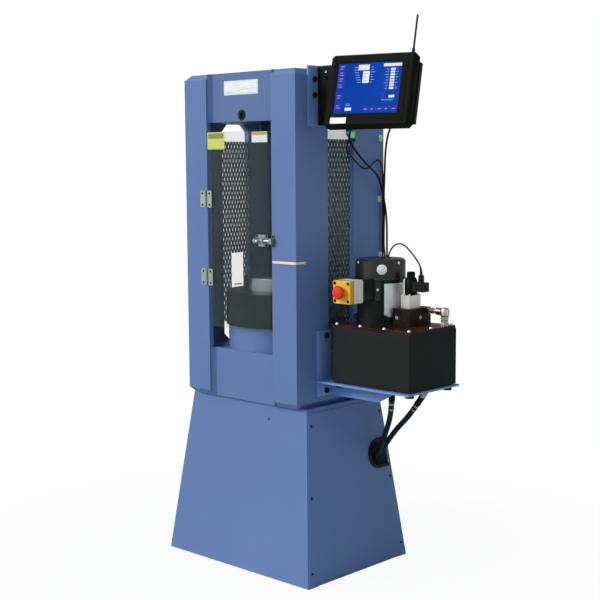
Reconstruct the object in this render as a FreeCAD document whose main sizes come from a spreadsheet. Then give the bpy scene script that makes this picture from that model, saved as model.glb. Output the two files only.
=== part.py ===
import FreeCAD, Part
import Sketcher
import math
import os

# Concrete compression testing machine: a welded channel frame on a sheet pedestal, a hydraulic
# ram with its platens and guards, a power pack on a side shelf and a tilting screen.
# The origin is on the floor below the machine's axis. +Z is up and the door faces -Y.

V = FreeCAD.Vector
doc = FreeCAD.newDocument("compression_machine")
sheet = doc.addObject("Spreadsheet::Sheet", "sizes")

SIZES = [
    ("fit_gap", 0.2, "gap left round a block that is welded or bolted into its place"),
    ("soft_gap", 0.3, "gap between curved faces of different pieces"),
    ("running_gap", 0.05, "radial clearance of a shaft in its bore"),
    # pedestal
    ("pedestal_height", 500.0, "floor to the underside of the load frame"),
    ("foot_width", 599.0, "pedestal width at the floor, over the side panels"),
    ("foot_depth", 442.0, "pedestal depth at the floor"),
    ("crown_width", 482.0, "pedestal width at the top, over the side panels"),
    ("crown_depth", 322.0, "pedestal depth at the top"),
    ("pedestal_wall", 4.0, "thickness of the pedestal sheet"),
    ("pedestal_top", 14.0, "thickness of the plate that carries the frame"),
    ("panel_wall", 2.5, "thickness of the screwed side panels"),
    ("panel_margin", 34.0, "steel left round the service window below a side panel"),
    ("panel_lip", 12.0, "strip of shell left bare above a side panel"),
    ("panel_notch", 9.0, "height of the notch between the feet of a side panel"),
    ("panel_foot", 36.0, "width of each foot of a side panel"),
    ("hose_slot_height", 83.0, "height of the hose slot in the right panel"),
    ("hose_slot_front", 87.0, "front end of the hose slot"),
    ("hose_slot_level", 328.0, "height of the hose slot's middle"),
    ("hose_jamb", 8.0, "strip of shell left behind the hose slot"),
    ("grommet_wall", 5.0, "rubber on each side of the slot's edge"),
    ("anchor_x", 520.0, "anchor hole spacing across the machine"),
    ("anchor_y", 360.0, "anchor hole spacing front to back"),
    ("anchor_radius", 7.0, "anchor hole radius"),
    ("anchor_pad", 8.0, "thickness of the anchor pads"),
    ("anchor_pad_size", 50.0, "side of the anchor pads"),
    ("service_bore", 90.0, "radius of the service hole in the pedestal's top plate"),
    # load frame
    ("frame_width", 458.0, "width over the two columns"),
    ("frame_depth", 381.0, "depth of the column channels"),
    ("frame_height", 960.0, "length of the columns"),
    ("flange_width", 94.5, "width of a channel flange"),
    ("flange_wall", 16.5, "thickness of a channel flange"),
    ("web_wall", 18.0, "thickness of a channel web"),
    ("root_radius", 12.0, "fillet between web and flange"),
    ("end_chamfer", 16.0, "chamfer at the column ends"),
    ("side_opening", 114.0, "width of the opening in a column web"),
    ("side_opening_chamfer", 22.0, "corner chamfer of that opening"),
    ("base_height", 147.0, "thickness of the base block"),
    ("crosshead_height", 141.0, "thickness of the crosshead block"),
    ("weld_size", 12.0, "leg of the weld between a flange toe and a block"),
    # upper platen
    ("seat_radius", 72.0, "outer radius of the spherical seat"),
    ("seat_drop", 31.0, "seat height below the crosshead"),
    ("ball_radius", 55.0, "spherical radius of the upper platen's back"),
    ("platen_face", 758.0, "height of the upper platen's bearing face, the ball's centre, above the pedestal"),
    ("platen_radius", 76.0, "radius of the upper platen"),
    ("platen_thick", 21.0, "thickness of the upper platen's disc"),
    ("stem_radius", 8.0, "radius of the hanging stem"),
    ("lock_radius", 15.5, "head radius of the lock screw"),
    ("lock_level", 18.0, "height of the lock screw above the crosshead's underside"),
    # hydraulic cylinder
    ("cylinder_radius", 172.0, "radius of the cylinder body"),
    ("cylinder_top", 300.0, "height of the cylinder's mouth above the pedestal"),
    ("cylinder_floor", 38.0, "thickness of the cylinder's floor"),
    ("ram_radius", 101.6, "bore radius of the cylinder"),
    ("ram_rest", 5.0, "oil gap below the resting ram"),
    ("skirt_radius", 179.0, "outer radius of the dust skirt"),
    ("skirt_wall", 4.5, "wall of the dust skirt"),
    ("skirt_height", 100.0, "height of the dust skirt"),
    ("skirt_top", 8.0, "thickness of the skirt's top plate"),
    ("skirt_level", 318.0, "height of the skirt's top above the pedestal"),
    ("lower_radius", 126.5, "radius of the lower platen"),
    ("lower_thick", 42.0, "thickness of the lower platen"),
    # guards
    ("guard_wall", 2.0, "thickness of the expanded metal"),
    ("guard_width", 132.0, "width of a side guard"),
    ("guard_bottom", 206.0, "height of a side guard's lower edge above the pedestal"),
    ("guard_height", 568.0, "height of a side guard"),
    ("diamond_width", 22.0, "short way of a diamond"),
    ("diamond_height", 47.333, "long way of a diamond"),
    ("strand", 4.5, "width of a strand"),
    ("rear_wall", 6.0, "thickness of the rear guard"),
    ("rear_lap", 26.0, "overlap of the rear guard on each column"),
    ("door_left", 1.5, "left edge of the door inside the left column's flange edge"),
    ("door_right", 10.5, "right edge of the door inside the right column's flange edge"),
    ("door_bottom", 214.5, "height of the door's lower edge above the pedestal"),
    ("door_height", 575.5, "height of the door"),
    ("door_wall", 9.5, "thickness of the door"),
    ("hinge_low", 361.0, "height of the lower hinge's middle above the pedestal"),
    ("hinge_high", 594.0, "height of the upper hinge's middle above the pedestal"),
    ("hinge_length", 50.0, "length of a hinge"),
    ("hinge_axis", 4.5, "hinge pin outside the left column's flange edge"),
    ("knuckle_radius", 3.6, "outer radius of a hinge knuckle"),
    ("pin_radius", 1.8, "radius of a hinge pin"),
    ("leaf_wall", 2.5, "thickness of a hinge leaf"),
    ("leaf_width", 25.0, "width of a hinge leaf"),
    ("latch_level", 479.0, "height of the latch bolt above the pedestal"),
    ("latch_height", 34.0, "height of the latch plates"),
    ("latch_bolt_radius", 4.0, "radius of the latch bolt"),
    # shelf and power pack
    ("shelf_level", 78.5, "height of the shelf's top face above the pedestal"),
    ("shelf_wall", 5.0, "thickness of the shelf"),
    ("shelf_length", 342.5, "reach of the shelf from the column"),
    ("shelf_front", 13.5, "front edge of the shelf in front of the tank"),
    ("shelf_depth", 18.0, "how much deeper the shelf is than the tank"),
    ("bracket_foot", 30.0, "height of the shelf brackets' lower end above the pedestal"),
    ("bracket_height", 190.0, "height of a shelf bracket"),
    ("bracket_leg", 58.0, "leg of a bracket along the column"),
    ("bracket_reach", 266.0, "reach of a bracket below the shelf"),
    ("bracket_front", -50.0, "outstanding leg of the front bracket"),
    ("bracket_rear", 44.0, "outstanding leg of the rear bracket"),
    ("bolt_radius", 6.0, "radius of the bracket bolts"),
    ("frame_bolt", 8.0, "radius of the bolts that hold the frame on the pedestal"),
    ("tank_left", 56.0, "left side of the tank from the column"),
    ("tank_length", 280.0, "length of the tank"),
    ("tank_front", -105.0, "front of the tank"),
    ("tank_depth", 213.0, "depth of the tank"),
    ("tank_foot", 3.0, "height of the rubber mounts above the shelf"),
    ("tank_height", 156.0, "height of the tank"),
    ("tank_wall", 3.0, "wall of the tank"),
    ("tank_corner", 5.0, "outer corner radius of the tank"),
    ("lid_wall", 8.5, "thickness of the tank lid"),
    ("lid_inset", 3.0, "inset of the lid from the tank's sides"),
    ("motor_place", 75.0, "motor axis from the tank's left side"),
    ("motor_back", 18.5, "motor axis behind the tank's middle"),
    ("motor_radius", 66.0, "radius of the motor shell"),
    ("motor_height", 128.0, "height of the motor shell above its flange"),
    ("cover_radius", 71.5, "radius of the fan cover"),
    ("cover_height", 58.0, "height of the fan cover"),
    ("cover_wall", 1.6, "wall of the fan cover"),
    ("shaft_radius", 7.95, "radius of the motor shaft"),
    ("manifold_left", 145.0, "left side of the manifold from the tank's left side"),
    ("manifold_front", 94.0, "front of the manifold from the tank's front"),
    ("manifold_width", 60.0, "width of the manifold"),
    ("manifold_margin", 22.0, "lid left bare behind the manifold"),
    ("manifold_height", 48.0, "height of the manifold"),
    ("valve_left", 15.0, "left side of the valve body from the manifold's"),
    ("valve_front", 19.0, "front of the valve body from the manifold's"),
    ("valve_width", 30.0, "width of the valve body"),
    ("valve_depth", 50.0, "depth of the valve body"),
    ("valve_height", 36.0, "height of the valve body"),
    ("coil_radius", 15.0, "radius of the solenoid coil"),
    ("coil_height", 48.0, "height of the solenoid coil"),
    ("pipe_place", 264.0, "return elbow from the tank's left side"),
    ("pipe_back", 36.0, "return pipe in front of the tank's rear"),
    ("stop_front", 168.0, "reach of the stop button's box in front of the motor's axis"),
    ("stop_level", 98.5, "height of the stop button above the tank lid"),
    ("stop_width", 64.0, "width of the stop button's box"),
    ("stop_height", 65.0, "height of the stop button's box"),
    ("stop_cover", 17.5, "depth of the yellow cover"),
    ("stop_base", 37.0, "depth of the grey box"),
    ("conduit_depth", 53.0, "depth of the motor's terminal box"),
    ("stop_stroke", 6.0, "travel of the stop button"),
    ("hose_radius", 8.0, "outer radius of a hose"),
    ("cable_radius", 3.0, "radius of a control cable"),
    ("lead_radius", 2.2, "radius of the solenoid's lead"),
    # screen
    ("screen_place", 209.0, "middle of the screen from the column"),
    ("screen_back", -129.5, "middle of the screen front to back"),
    ("screen_level", 897.0, "height of the screen's middle above the pedestal"),
    ("screen_turn", 15.9, "turn of the screen about the vertical, degrees"),
    ("screen_lean", 16.4, "lean of the screen, degrees"),
    ("screen_width", 186.0, "width of the visible screen"),
    ("screen_height", 140.0, "height of the visible screen"),
    ("housing_width", 250.0, "width of the monitor housing"),
    ("housing_height", 204.0, "height of the monitor housing"),
    ("housing_depth", 26.0, "depth of the monitor's front shell"),
    ("back_depth", 20.0, "depth of the monitor's rear box"),
    ("arm_level", 884.0, "height of the monitor bracket's middle above the pedestal"),
    ("arm_height", 167.0, "height of the monitor bracket"),
    ("arm_front", -142.5, "front edge of the monitor bracket"),
    ("arm_leg", 46.0, "leg of the monitor bracket along the column"),
    ("arm_reach", 50.0, "reach of the monitor bracket's outstanding leg"),
    ("arm_wall", 6.0, "thickness of the monitor bracket"),
    ("antenna_length", 112.0, "length of the antenna"),
]


class Dim:
    """A length that carries both its value and the sheet expression that gives it."""

    def __init__(self, value, text):
        self.value = value
        self.text = text

    def join(self, other, sign, swap=False):
        other = other if isinstance(other, Dim) else Dim(other, repr(float(other)))
        left, right = (other, self) if swap else (self, other)
        if sign == "+":
            value = left.value + right.value
        elif sign == "-":
            value = left.value - right.value
        elif sign == "*":
            value = left.value * right.value
        else:
            value = left.value / right.value
        return Dim(value, "(" + left.text + " " + sign + " " + right.text + ")")

    def __add__(self, other):
        return self.join(other, "+")

    def __radd__(self, other):
        return self.join(other, "+", True)

    def __sub__(self, other):
        return self.join(other, "-")

    def __rsub__(self, other):
        return self.join(other, "-", True)

    def __mul__(self, other):
        return self.join(other, "*")

    def __rmul__(self, other):
        return self.join(other, "*", True)

    def __truediv__(self, other):
        return self.join(other, "/")

    def __neg__(self):
        return self.join(0.0, "-", True)

    def __float__(self):
        return float(self.value)


class Sizes:
    """The driving dimensions by name."""


s = Sizes()
for row, (alias, value, note) in enumerate(SIZES, start=1):
    sheet.set("A" + str(row), alias)
    sheet.set("B" + str(row), str(value))
    sheet.set("C" + str(row), note)
    sheet.setAlias("B" + str(row), alias)
    setattr(s, alias, Dim(value, "sizes." + alias))
doc.recompute()

# Heights, and places across and back, are measured from the piece that carries each of them

for alias in ("cylinder_top", "platen_face", "skirt_level", "guard_bottom", "door_bottom", "hinge_low", "hinge_high",
              "latch_level", "shelf_level", "bracket_foot", "arm_level", "screen_level"):
    setattr(s, alias, s.pedestal_height + getattr(s, alias))
for alias in ("tank_left", "screen_place"):
    setattr(s, alias, s.frame_width / 2 + getattr(s, alias))
for alias in ("motor_place", "manifold_left", "pipe_place"):
    setattr(s, alias, s.tank_left + getattr(s, alias))
flange_edge = s.frame_width / 2 - s.flange_width
s.door_left = s.door_left - flange_edge
s.door_right = flange_edge - s.door_right
s.hinge_axis = -flange_edge - s.hinge_axis
s.shelf_front = s.tank_front - s.shelf_front
s.shelf_depth = s.tank_depth + s.shelf_depth
s.motor_back = s.tank_front + s.tank_depth / 2 + s.motor_back
s.manifold_depth = s.tank_depth - s.manifold_front - s.manifold_margin
s.manifold_front = s.tank_front + s.manifold_front
s.valve_left = s.manifold_left + s.valve_left
s.valve_front = s.manifold_front + s.valve_front
s.pipe_back = s.tank_front + s.tank_depth - s.pipe_back
s.stop_front = s.motor_back - s.stop_front
s.stop_level = s.shelf_level + s.tank_foot + s.tank_height + s.lid_wall + s.stop_level

NODES = []
COUNT = {}


def new(kind, name):
    """A document object with a numbered name."""
    COUNT[name] = COUNT.get(name, 0) + 1
    return doc.addObject(kind, name + "_" + str(COUNT[name]))


def bind(obj, prop, value):
    """Set a property from a number, or tie it to the sheet."""
    if isinstance(value, Dim):
        obj.setExpression(prop, value.text)
    elif "." in prop:
        obj.setExpression(prop, repr(float(value)))
    else:
        setattr(obj, prop, value)


TURNS = {
    "Z": FreeCAD.Rotation(),
    "X": FreeCAD.Rotation(V(0, 1, 0), 90),
    "Y": FreeCAD.Rotation(V(1, 0, 0), -90),
    "-Z": FreeCAD.Rotation(V(1, 0, 0), 180),
    "-Y": FreeCAD.Rotation(V(1, 0, 0), 90),
}


def place(obj, at, turn=None):
    """Put an object's origin at a point, turned if asked."""
    start = V(*[float(value) for value in at])
    obj.Placement = FreeCAD.Placement(start, turn or FreeCAD.Rotation())
    for axis, value in zip("xyz", at):
        bind(obj, "Placement.Base." + axis, value)
    return obj


def box(at, size):
    """A block by its lowest corner and its three sides."""
    block = new("Part::Box", "block")
    for prop, value in zip(("Length", "Width", "Height"), size):
        bind(block, prop, value)
    return place(block, at)


def rod(radius, length, at, axis="Z"):
    """A round bar from a point along an axis."""
    bar = new("Part::Cylinder", "bar")
    bind(bar, "Radius", radius)
    bind(bar, "Height", length)
    return place(bar, at, TURNS[axis])


def cone(low, high, length, at, axis="Z"):
    """A tapered round bar."""
    bar = new("Part::Cone", "taper")
    bind(bar, "Radius1", low)
    bind(bar, "Radius2", high)
    bind(bar, "Height", length)
    return place(bar, at, TURNS[axis])


def ball(radius, at):
    """A full ball."""
    piece = new("Part::Sphere", "ball")
    bind(piece, "Radius", radius)
    return place(piece, at)


def hexagon(across, length, at, axis="Z"):
    """A hexagonal bar by its width across corners over two."""
    bar = new("Part::Prism", "hexagon")
    bar.Polygon = 6
    bind(bar, "Circumradius", across)
    bind(bar, "Height", length)
    return place(bar, at, TURNS[axis])


def fuse(*pieces):
    """One solid from several."""
    joined = new("Part::MultiFuse", "union")
    joined.Shapes = list(pieces)
    joined.Refine = True
    return joined


def cut(base, *tools):
    """A solid with others taken away."""
    tool = tools[0] if len(tools) == 1 else fuse(*tools)
    result = new("Part::Cut", "cut")
    result.Base = base
    result.Tool = tool
    return result


def common(first, second):
    """The space that two solids share."""
    result = new("Part::Common", "shared")
    result.Base = first
    result.Tool = second
    return result


def group(*pieces):
    """Several separate solids in one node."""
    result = new("Part::Compound", "group")
    result.Links = list(pieces)
    return result


def node(label, piece):
    """Name a finished sub-part."""
    piece.Label = label
    NODES.append(piece)
    return piece


def body(name):
    """A new feature body."""
    return new("PartDesign::Body", name)


def sketch(owner, role, *loops, lift=0):
    """A sketch on an origin plane: each loop is a list of points, or a circle (x, y, radius)."""
    drawing = owner.newObject("Sketcher::SketchObject", owner.Name + "_sketch")
    plane = [item for item in owner.Origin.OriginFeatures if item.Role == role][0]
    drawing.AttachmentSupport = [(plane, "")]
    drawing.MapMode = "FlatFace"
    bind(drawing, "AttachmentOffset.Base.z", lift)
    for loop in loops:
        if isinstance(loop, tuple):
            draw_circle(drawing, *loop)
        else:
            draw_outline(drawing, loop)
    return drawing


def tie(drawing, kind, refs, value):
    """A sketch constraint whose value follows the sheet."""
    index = drawing.addConstraint(Sketcher.Constraint(kind, *refs, float(value)))
    if isinstance(value, Dim):
        drawing.setExpression("Constraints[" + str(index) + "]", value.text)


def draw_circle(drawing, across, up, radius):
    """A circle held by its centre and radius."""
    curve = Part.Circle(V(float(across), float(up), 0), V(0, 0, 1), float(radius))
    index = drawing.addGeometry(curve, False)
    tie(drawing, "DistanceX", (-1, 1, index, 3), across)
    tie(drawing, "DistanceY", (-1, 1, index, 3), up)
    tie(drawing, "Radius", (index,), radius)


def draw_outline(drawing, points):
    """A closed outline of straight edges, each corner held from the sketch's origin."""
    spots = [V(float(across), float(up), 0) for across, up in points]
    count = len(spots)
    first = drawing.GeometryCount
    for place_in_loop in range(count):
        end = spots[(place_in_loop + 1) % count]
        drawing.addGeometry(Part.LineSegment(spots[place_in_loop], end), False)
    for place_in_loop in range(count):
        this = first + place_in_loop
        after = first + (place_in_loop + 1) % count
        drawing.addConstraint(Sketcher.Constraint("Coincident", this, 2, after, 1))
    for place_in_loop, (across, up) in enumerate(points):
        tie(drawing, "DistanceX", (-1, 1, first + place_in_loop, 1), across)
        tie(drawing, "DistanceY", (-1, 1, first + place_in_loop, 1), up)


def pad(owner, drawing, length, both=False, back=False):
    """Raise a sketch into a solid."""
    feature = owner.newObject("PartDesign::Pad", owner.Name + "_pad")
    feature.Profile = drawing
    bind(feature, "Length", length)
    feature.Midplane = both
    feature.Reversed = back
    return feature


def pocket(owner, drawing, length, both=False, back=False):
    """Sink a sketch into the solid, and make sure that it cuts."""
    doc.recompute()
    before = owner.Shape.Volume
    feature = owner.newObject("PartDesign::Pocket", owner.Name + "_pocket")
    feature.Profile = drawing
    bind(feature, "Length", length)
    feature.Midplane = both
    feature.Reversed = back
    doc.recompute()
    if not owner.Shape.Volume < before - 0.01:
        raise RuntimeError(owner.Name + ": a pocket cuts nothing")
    return feature


def turned(points, at=(0, 0, 0), turn=None, name="turned"):
    """A turned piece: its half outline, as radius and height, spun about its own Z axis."""
    owner = body(name)
    drawing = sketch(owner, "XZ_Plane", points)
    feature = owner.newObject("PartDesign::Revolution", owner.Name + "_turn")
    feature.Profile = drawing
    feature.ReferenceAxis = (drawing, ["V_Axis"])
    feature.Angle = 360.0
    return place(owner, at, turn)


def plate(role, outline, length, at=(0, 0, 0), holes=(), both=False, back=False, lift=0, name="plate"):
    """A flat piece: an outline with holes, raised along the plane's normal."""
    owner = body(name)
    pad(owner, sketch(owner, role, outline, *holes, lift=lift), length, both, back)
    return place(owner, at)


def rectangle(left, low, right, high):
    """The corners of an upright rectangle."""
    return [(left, low), (right, low), (right, high), (left, high)]


def clipped(left, low, right, high, corner):
    """A rectangle with its corners cut off."""
    return [
        (left + corner, low), (right - corner, low), (right, low + corner), (right, high - corner),
        (right - corner, high), (left + corner, high), (left, high - corner), (left, low + corner),
    ]


def rounded(owner, size, chosen, kind="Fillet"):
    """Fillet or chamfer the edges of a body that a rule picks."""
    doc.recompute()
    base = owner.Tip
    names = ["Edge" + str(index + 1) for index, edge in enumerate(base.Shape.Edges) if chosen(edge)]
    if not names:
        raise RuntimeError(owner.Name + ": no edge to round")
    feature = owner.newObject("PartDesign::" + kind, owner.Name + "_" + kind.lower())
    feature.Base = (base, names)
    bind(feature, "Radius" if kind == "Fillet" else "Size", size)
    owner.Tip = feature
    return feature


def along(edge, axis):
    """Is this straight edge parallel to an axis?"""
    if edge.Curve.TypeId != "Part::GeomLine":
        return False
    run = edge.Vertexes[-1].Point - edge.Vertexes[0].Point
    return abs(abs(run.normalize().dot(axis)) - 1) < 1e-6


X_AXIS = V(1, 0, 0)
Y_AXIS = V(0, 1, 0)
Z_AXIS = V(0, 0, 1)


def screw(radius, height, at, axis, stem=None, depth=None):
    """A button-head screw with a socket, its head standing on a face, its stem in the work."""
    head = cone(radius, radius * 0.72, height, at, axis)
    socket_place = list(at)
    step = {"Z": (2, 1), "-Z": (2, -1), "X": (0, 1), "Y": (1, 1), "-Y": (1, -1)}[axis]
    socket_place[step[0]] = at[step[0]] + height * 0.45 * step[1]
    socket = hexagon(radius * 0.4, height, socket_place, axis)
    piece = cut(head, socket)
    if stem is None:
        return piece
    stem_place = list(at)
    stem_place[step[0]] = at[step[0]] - depth * step[1]
    return fuse(piece, rod(stem, depth, stem_place, axis))


def frustum(low_x, low_y, high_x, high_y, height, lift=0):
    """A four-sided taper about the Z axis by its half sides at the bottom and the top."""
    piece = new("Part::Wedge", "taper_block")
    bounds = {
        "Xmin": -low_x, "Xmax": low_x, "Zmin": -low_y, "Zmax": low_y, "Ymin": 0.0, "Ymax": height,
        "X2min": -high_x, "X2max": high_x, "Z2min": -high_y, "Z2max": high_y,
    }
    for prop, value in bounds.items():
        bind(piece, prop, value)
    return place(piece, (0, 0, lift), FreeCAD.Rotation(X_AXIS, 90))


# Pedestal

half_width = s.frame_width / 2
half_depth = s.frame_depth / 2
frame_top = s.pedestal_height + s.frame_height
base_top = s.pedestal_height + s.base_height
crosshead_bottom = frame_top - s.crosshead_height

foot_x = s.foot_width / 2
foot_y = s.foot_depth / 2
crown_x = s.crown_width / 2
crown_y = s.crown_depth / 2
side_lean = math.degrees(math.atan2(float(foot_x - crown_x), float(s.pedestal_height)))
front_lean = math.degrees(math.atan2(float(foot_y - crown_y), float(s.pedestal_height)))
outward = FreeCAD.Rotation(Y_AXIS, -side_lean)


def side_at(level):
    """Outer face of the side panels at a height."""
    return foot_x - (foot_x - crown_x) * level / s.pedestal_height


def front_at(level):
    """Half depth of the pedestal at a height."""
    return foot_y - (foot_y - crown_y) * level / s.pedestal_height


hollow_top = s.pedestal_height - s.pedestal_top
wall = s.pedestal_wall
shell = frustum(foot_x - s.panel_wall, foot_y, crown_x - s.panel_wall, crown_y, s.pedestal_height)
hollow = frustum(
    foot_x - s.panel_wall - wall, foot_y - wall,
    side_at(hollow_top) - s.panel_wall - wall, front_at(hollow_top) - wall, hollow_top)
window_front = crown_y - s.panel_margin
window = box((-foot_x, -window_front, s.panel_margin * 2), (s.foot_width, window_front * 2,
             s.pedestal_height - s.panel_margin * 4))
frame_bolt_spots = [(x, y) for x in (-160, 160) for y in (-115, 115)]
bolt_holes = [rod(s.frame_bolt + 0.5, s.pedestal_top * 2, (x, y, hollow_top - s.pedestal_top / 2))
              for x, y in frame_bolt_spots]
service_hole = rod(s.service_bore, s.pedestal_top * 2, (0, 0, hollow_top - s.pedestal_top / 2))
anchor_spots = [(s.anchor_x * x / 2, s.anchor_y * y / 2) for x in (-1, 1) for y in (-1, 1)]
anchor_holes = [rod(s.anchor_radius, s.anchor_pad * 3, (across, back, -s.anchor_pad))
                for across, back in anchor_spots]
edge_strips = common(
    box((-foot_x, -foot_y, 0), (s.foot_width, s.foot_depth, s.anchor_pad)),
    frustum(foot_x - s.panel_wall, foot_y, crown_x - s.panel_wall, crown_y, s.pedestal_height))
floor_opening = box((-s.anchor_x / 2 + s.anchor_pad_size / 2, -s.anchor_y / 2 + s.anchor_pad_size / 2,
                     -s.anchor_pad), (s.anchor_x - s.anchor_pad_size, s.anchor_y - s.anchor_pad_size,
                                      s.anchor_pad * 3))
floor_flange = cut(edge_strips, floor_opening)


def hose_slot(depth, past_jamb):
    """The hose slot in the leaning side face, as a solid to cut with."""
    centre = s.hose_slot_front + s.hose_slot_height / 2
    round_end = rod(s.hose_slot_height / 2, depth * 2, (-depth, centre, 0), "X")
    run = front_at(s.hose_slot_level) - s.hose_jamb - centre + past_jamb
    straight = box((-depth, centre, -s.hose_slot_height / 2), (depth * 2, run, s.hose_slot_height))
    return place(fuse(round_end, straight), (side_at(s.hose_slot_level), 0, s.hose_slot_level), outward)


slotted = cut(fuse(cut(shell, hollow, window), floor_flange), service_hole, hose_slot(14, 0),
              *(bolt_holes + anchor_holes))
node("pedestal_shell", slotted)

skin = cut(frustum(foot_x, foot_y, crown_x, crown_y, s.pedestal_height),
           frustum(foot_x - s.panel_wall, foot_y + 20, crown_x - s.panel_wall, crown_y + 20,
                   s.pedestal_height))
edge_gap = s.panel_foot / 12
lip_level = s.pedestal_height - s.panel_lip
panel_outline = [
    (-foot_y + edge_gap, 0), (-foot_y + edge_gap + s.panel_foot, 0),
    (-foot_y + edge_gap + s.panel_foot, s.panel_notch), (foot_y - edge_gap - s.panel_foot, s.panel_notch),
    (foot_y - edge_gap - s.panel_foot, 0), (foot_y - edge_gap, 0),
    (front_at(lip_level) - edge_gap, lip_level), (-front_at(lip_level) + edge_gap, lip_level),
]
panel_form = plate("YZ_Plane", panel_outline, s.foot_width + 40, both=True, name="panel_form")
panels = cut(common(skin, panel_form), hose_slot(14, 40))
node("pedestal_side_panels", panels)

panel_screw_levels = (40, 250, 452)
panel_screws = []
for side in (-1, 1):
    lean = FreeCAD.Rotation(Y_AXIS, 90 - side_lean) if side > 0 else FreeCAD.Rotation(Y_AXIS, -90 + side_lean)
    for level in panel_screw_levels:
        for end in (-1, 1):
            spot = (side_at(level) * side, (front_at(level) - 16) * end, level)
            head = new("Part::Cone", "panel_screw")
            bind(head, "Radius1", 4.2)
            bind(head, "Radius2", 3.0)
            bind(head, "Height", 2.4)
            panel_screws.append(place(head, spot, lean))
small_screws = list(panel_screws)

slot_middle = s.hose_slot_front + s.hose_slot_height / 2
slot_radius = s.hose_slot_height / 2
slot_run = front_at(s.hose_slot_level) - s.hose_jamb - slot_middle - s.soft_gap


def slot_form(radius, start, depth):
    """A round-ended strip in the plane of the side panel, before it leans."""
    return fuse(rod(radius, depth, (start, slot_middle, 0), "X"),
                box((start, slot_middle, -radius), (depth, slot_run, radius * 2)))


edging = cut(
    fuse(slot_form(slot_radius - s.soft_gap, -8, 12), slot_form(slot_radius + 4, s.soft_gap, 3.7)),
    fuse(rod(slot_radius - s.grommet_wall, 30, (-15, slot_middle, 0), "X"),
         box((-15, slot_middle, -(slot_radius - s.grommet_wall)),
             (30, slot_run + 10, (slot_radius - s.grommet_wall) * 2))))
node("hose_grommet", place(edging, (side_at(s.hose_slot_level), 0, s.hose_slot_level), outward))

# Load frame

envelope = plate("XY_Plane", rectangle(-half_width, -half_depth, half_width, half_depth), s.frame_height,
                 (0, 0, s.pedestal_height), name="frame_envelope")
rounded(envelope, s.end_chamfer, lambda edge: not along(edge, Z_AXIS), "Chamfer")

bracket_bolt_levels = (s.bracket_foot + 15, s.bracket_foot + s.bracket_height - 15)
front_bolt = s.bracket_front - 21
rear_bolt = s.bracket_rear + 36
arm_bolt = s.arm_front + 25
arm_bolt_levels = (s.arm_level + 3, s.arm_level + 46)
bracket_bolt_spots = [(place_back, level) for place_back in (front_bolt, rear_bolt)
                      for level in bracket_bolt_levels]
bracket_bolt_spots += [(arm_bolt, level) for level in arm_bolt_levels]

for label, side in (("column_left", -1), ("column_right", 1)):
    outer = half_width * side
    web = (half_width - s.web_wall) * side
    toe = (half_width - s.flange_width) * side
    flange = half_depth - s.flange_wall
    channel = body(label + "_channel")
    profile = [(outer, -half_depth), (toe, -half_depth), (toe, -flange), (web, -flange),
               (web, flange), (toe, flange), (toe, half_depth), (outer, half_depth)]
    pad(channel, sketch(channel, "XY_Plane", profile), s.frame_height)
    inner_edge = float(web)
    rounded(channel, s.root_radius,
            lambda edge: along(edge, Z_AXIS) and abs(edge.Vertexes[0].X - inner_edge) < 0.01)
    opening = clipped(-s.side_opening / 2, s.base_height, s.side_opening / 2,
                      s.frame_height - s.crosshead_height, s.side_opening_chamfer)
    pocket(channel, sketch(channel, "YZ_Plane", opening), s.frame_width * 2, both=True)
    place(channel, (0, 0, s.pedestal_height))
    column = common(channel, envelope)
    if side > 0:
        holes = [rod(s.bolt_radius + s.running_gap, s.web_wall * 2,
                     (half_width - s.web_wall * 1.5, back, level), "X")
                 for back, level in bracket_bolt_spots]
        column = cut(column, *holes)
    node(label, column)

block_x = half_width - s.web_wall - s.fit_gap
block_y = half_depth - s.flange_wall - s.fit_gap
toe_x = half_width - s.flange_width
oil_bore = 14.0
second_bore = 9.4


def weld_beads(bottom, height):
    """The four fillet welds between the flange toes and a block."""
    beads = []
    for across in (-1, 1):
        for back in (-1, 1):
            root_x = toe_x * across
            root_y = block_y * back
            tip_x = root_x - s.weld_size * across
            tip_y = root_y + s.weld_size * back
            inside_y = root_y - s.weld_size * back
            outline = [(root_x, inside_y), (tip_x, inside_y), (tip_x, root_y), (root_x, tip_y)]
            beads.append(plate("XY_Plane", outline, height, (0, 0, bottom), name="bead"))
    return beads


base = plate("XY_Plane", rectangle(-block_x, -block_y, block_x, block_y), s.base_height,
             (0, 0, s.pedestal_height), name="base")
rounded(base, s.root_radius + s.fit_gap, lambda edge: along(edge, Z_AXIS))
base_bolt_holes = [rod(s.frame_bolt + s.running_gap, 60, (x, y, s.pedestal_height - 5))
                   for x, y in frame_bolt_spots]
oil_ways = [rod(oil_bore, s.base_height + 20, (0, 0, s.pedestal_height - 10)),
            rod(second_bore, s.base_height + 20, (60, 30, s.pedestal_height - 10))]
node("base_block", cut(fuse(base, *weld_beads(s.pedestal_height, s.base_height)),
                       *(oil_ways + base_bolt_holes)))

recess_radius = 40.0
recess_depth = 50.0
lock_level = crosshead_bottom + s.lock_level
lock_stem = 10.0
crosshead = plate("XY_Plane", rectangle(-block_x, -block_y, block_x, block_y), s.crosshead_height,
                  (0, 0, crosshead_bottom), name="crosshead")
lock_hole = fuse(rod(lock_stem + s.running_gap, block_y, (0, -block_y, lock_level), "Y"),
                 rod(s.lock_radius + 0.5, 12, (0, -block_y - 0.5, lock_level), "Y"))
rounded(crosshead, s.root_radius + s.fit_gap, lambda edge: along(edge, Z_AXIS))
node("crosshead", cut(fuse(crosshead, *weld_beads(crosshead_bottom, s.crosshead_height)),
                      rod(recess_radius, recess_depth + 5, (0, 0, crosshead_bottom - 5)), lock_hole))

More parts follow.
